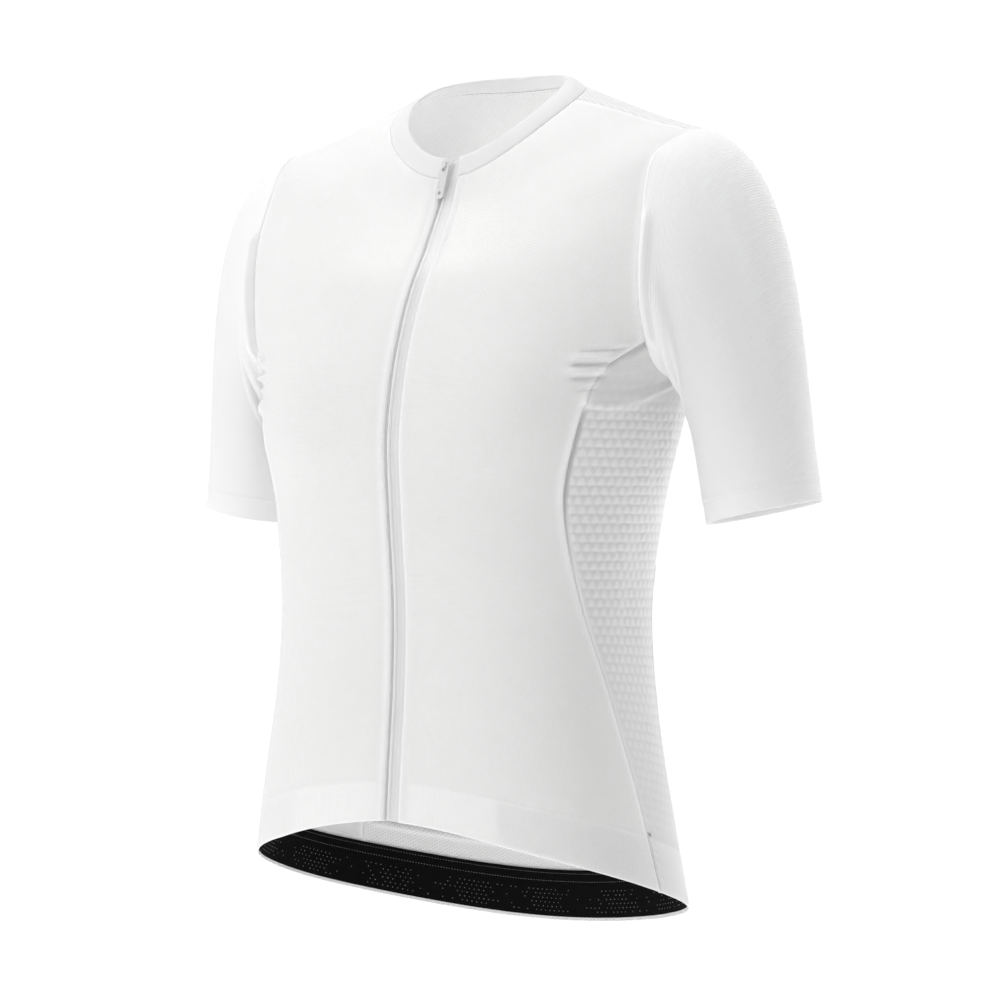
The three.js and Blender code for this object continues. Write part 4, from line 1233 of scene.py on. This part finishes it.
def makeSewing():
    rows = []
    for side, (grid, place, length, normals) in sleeves.items():
        for away in cuffSewing["rows"]:
            line = np.empty((grid.shape[1], 3))
            facing = np.empty((grid.shape[1], 3))
            for c in range(grid.shape[1]):
                for k in range(3):
                    line[c, k] = np.interp(length[c] - away, place[:, c], grid[:, c, k])
                    facing[c, k] = np.interp(length[c] - away, place[:, c], normals[:, c, k])
            lift = 0.3 if away < sleeveForm["hem"] else 0.04
            rows.append(
                lineStitches(line + unit(facing) * lift, facing, cuffSewing["pitch"], cuffSewing["swing"])
            )
    manyOf("cuff_sewing", bead(1.9, 0.4, 0.34), np.concatenate(rows), threadWhite, "sleeve_cloth")
    rows = []
    level = hemSewing["level"]
    for side, inner in ((1, hemSewing["left"]), (-1, hemSewing["right"])):
        girth = float(torso.girth(level))
        share = np.linspace(inner / girth, float(panelEdge(level, "back")) - 0.01, 200) * side
        normal = torso.normal(share, level)
        rows.append(lineStitches(torso.point(share, level) + normal * -0.2, normal, hemSewing["pitch"]))
    manyOf("hem_sewing", bead(1.5, 0.4, 0.3), np.concatenate(rows), threadWhite, "front_cloth")
    # The side seams are sewn down over the hem, with a small tack at its top
    rows, tacks = [], []
    for side in (1, -1):
        for offset in sideSewing["beside"]:
            level = np.linspace(sideSewing["low"], sideSewing["high"], 60)
            share = (panelEdge(level, "front") + offset / torso.girth(level)) * side
            normal = torso.normal(share, level)
            rows.append(
                lineStitches(
                    torso.point(share, level) + normal * 0.12, normal, sideSewing["pitch"],
                    sideSewing["swing"]
                )
            )
        for k in range(5):
            level = 36.4 + 0.5 * k
            share = (
                float(panelEdge(level, "front")) + np.array([0.4, 4.4]) / float(torso.girth(level))
            ) * side
            normal = torso.normal(share, level)
            tacks.append(lineStitches(torso.point(share, level) + normal * 0.25, normal, 2.0))
    manyOf("side_hem_sewing", bead(1.7, 0.42, 0.36), np.concatenate(rows), threadWhite, "side_cloth")
    manyOf("side_tack", bead(2.0, 0.42, 0.4), np.concatenate(tacks), threadGrey, "side_cloth")


makeSewing()

# Slider and pull tab keep the solids' form, with eased edges and a polished finish
for name in ("zip_slider", "zip_pull_tab"):
    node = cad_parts[name]
    node.data.materials.clear()
    node.data.materials.append(zipMetal)
    ease = node.modifiers.new("ease", "BEVEL")
    ease.width = 0.00012
    ease.segments = 2
    ease.limit_method = "ANGLE"
print("sewing and metal made")

# Studio: a pale floor far below, a white surrounding that lights the cloth mostly from behind, and large
# soft lamps
studio = {
    "floor": -1.45, "floorWide": 5, "floorTone": 0.9, "floorGlow": 0.52,
    "seen": 1.04, "behind": 0.68, "around": 0.3,
}


def makeFloor(values):
    bm = bmesh.new()
    bmesh.ops.create_circle(bm, cap_ends=True, segments=96, radius=values["floorWide"])
    bmesh.ops.translate(bm, verts=bm.verts, vec=(0, 0, values["floor"]))
    mesh = bpy.data.meshes.new("studio_floor")
    bm.to_mesh(mesh)
    bm.free()
    floor = bpy.data.objects.new("studio_floor", mesh)
    scene.collection.objects.link(floor)
    material, tree, shader = newMaterial("pale_floor", 0.9, specular=0.1)
    tone = values["floorTone"]
    shader.inputs["Base Color"].default_value = (tone, tone, tone, 1)
    shader.inputs["Emission Color"].default_value = (1, 1, 1, 1)
    shader.inputs["Emission Strength"].default_value = values["floorGlow"]
    mesh.materials.append(material)


makeFloor(studio)


def makeSurrounding(values):
    world = bpy.data.worlds.new("studio_white")
    world.use_nodes = True
    scene.world = world
    tree = world.node_tree
    background = tree.nodes["Background"]
    background.inputs["Color"].default_value = (1, 1, 1, 1)
    direction = addNode(tree, "ShaderNodeTexCoord").outputs["Generated"]
    angle = math.radians(photoCamera["azimuth"])
    ahead = (-math.sin(angle), math.cos(angle), 0)
    along = addNode(
        tree, "ShaderNodeVectorMath", {0: direction, 1: ahead}, operation="DOT_PRODUCT"
    ).outputs["Value"]
    lighting = addNode(
        tree, "ShaderNodeMapRange",
        {
            "Value": along, "From Min": 0.1, "From Max": 0.85, "To Min": values["around"],
            "To Max": values["behind"]
        },
        interpolation_type="SMOOTHSTEP",
    ).outputs["Result"]
    direct = addNode(tree, "ShaderNodeLightPath").outputs["Is Camera Ray"]
    mixed = addNode(
        tree, "ShaderNodeMix", {"Factor": direct, 2: lighting, 3: values["seen"]}, data_type="FLOAT"
    ).outputs[0]
    tree.links.new(mixed, background.inputs["Strength"])


makeSurrounding(studio)

# name, place by the camera's axes (right, towards the camera, up), size, watts
lamps = [
    ("key", (-1.9, 2.0, 0.9), (2.2, 2.2), 20),
    ("top", (0.0, 0.3, 2.0), (2.4, 2.4), 34),
    ("left", (-2.3, 0.2, 0.3), (1.6, 2.4), 11),
    ("rim", (2.0, -1.3, 0.4), (1.6, 2.4), 21),
    ("backRight", (1.2, -2.0, 0.0), (1.6, 2.4), 10),
]
# a small lamp inside the jersey for the light that reaches the neck through the cloth, by the object's axes
neckLamp = {"place": (0, -0.03, -0.17), "aim": (0, 0.075, 0.01), "size": 0.1, "watts": 0.17}


def makeLamp(name, place, target, wide, tall, watts):
    data = bpy.data.lights.new("lamp_" + name, "AREA")
    data.shape = "RECTANGLE"
    data.size, data.size_y = wide, tall
    data.energy = watts
    lamp = bpy.data.objects.new("lamp_" + name, data)
    scene.collection.objects.link(lamp)
    lamp.location = place
    aim = np.array(target) - place
    turn = math.atan2(aim[1], aim[0]) - math.pi / 2
    tilt = math.atan2(math.hypot(aim[0], aim[1]), -aim[2])
    lamp.rotation_euler = (tilt, 0, turn)
    lamp.visible_camera = False


def makeLamps():
    angle = math.radians(photoCamera["azimuth"])
    right = np.array([math.cos(angle), math.sin(angle), 0])
    towards = np.array([math.sin(angle), -math.cos(angle), 0])
    target = np.array([0, 0, -0.28])
    for name, (x, y, z), (wide, tall), watts in lamps:
        makeLamp(name, target + right * x + towards * y + np.array([0, 0, z]), target, wide, tall, watts)
    makeLamp(
        "neck", neckLamp["place"], neckLamp["aim"], neckLamp["size"], neckLamp["size"], neckLamp["watts"]
    )


makeLamps()
scene.view_settings.view_transform = "Standard"
print("studio made")
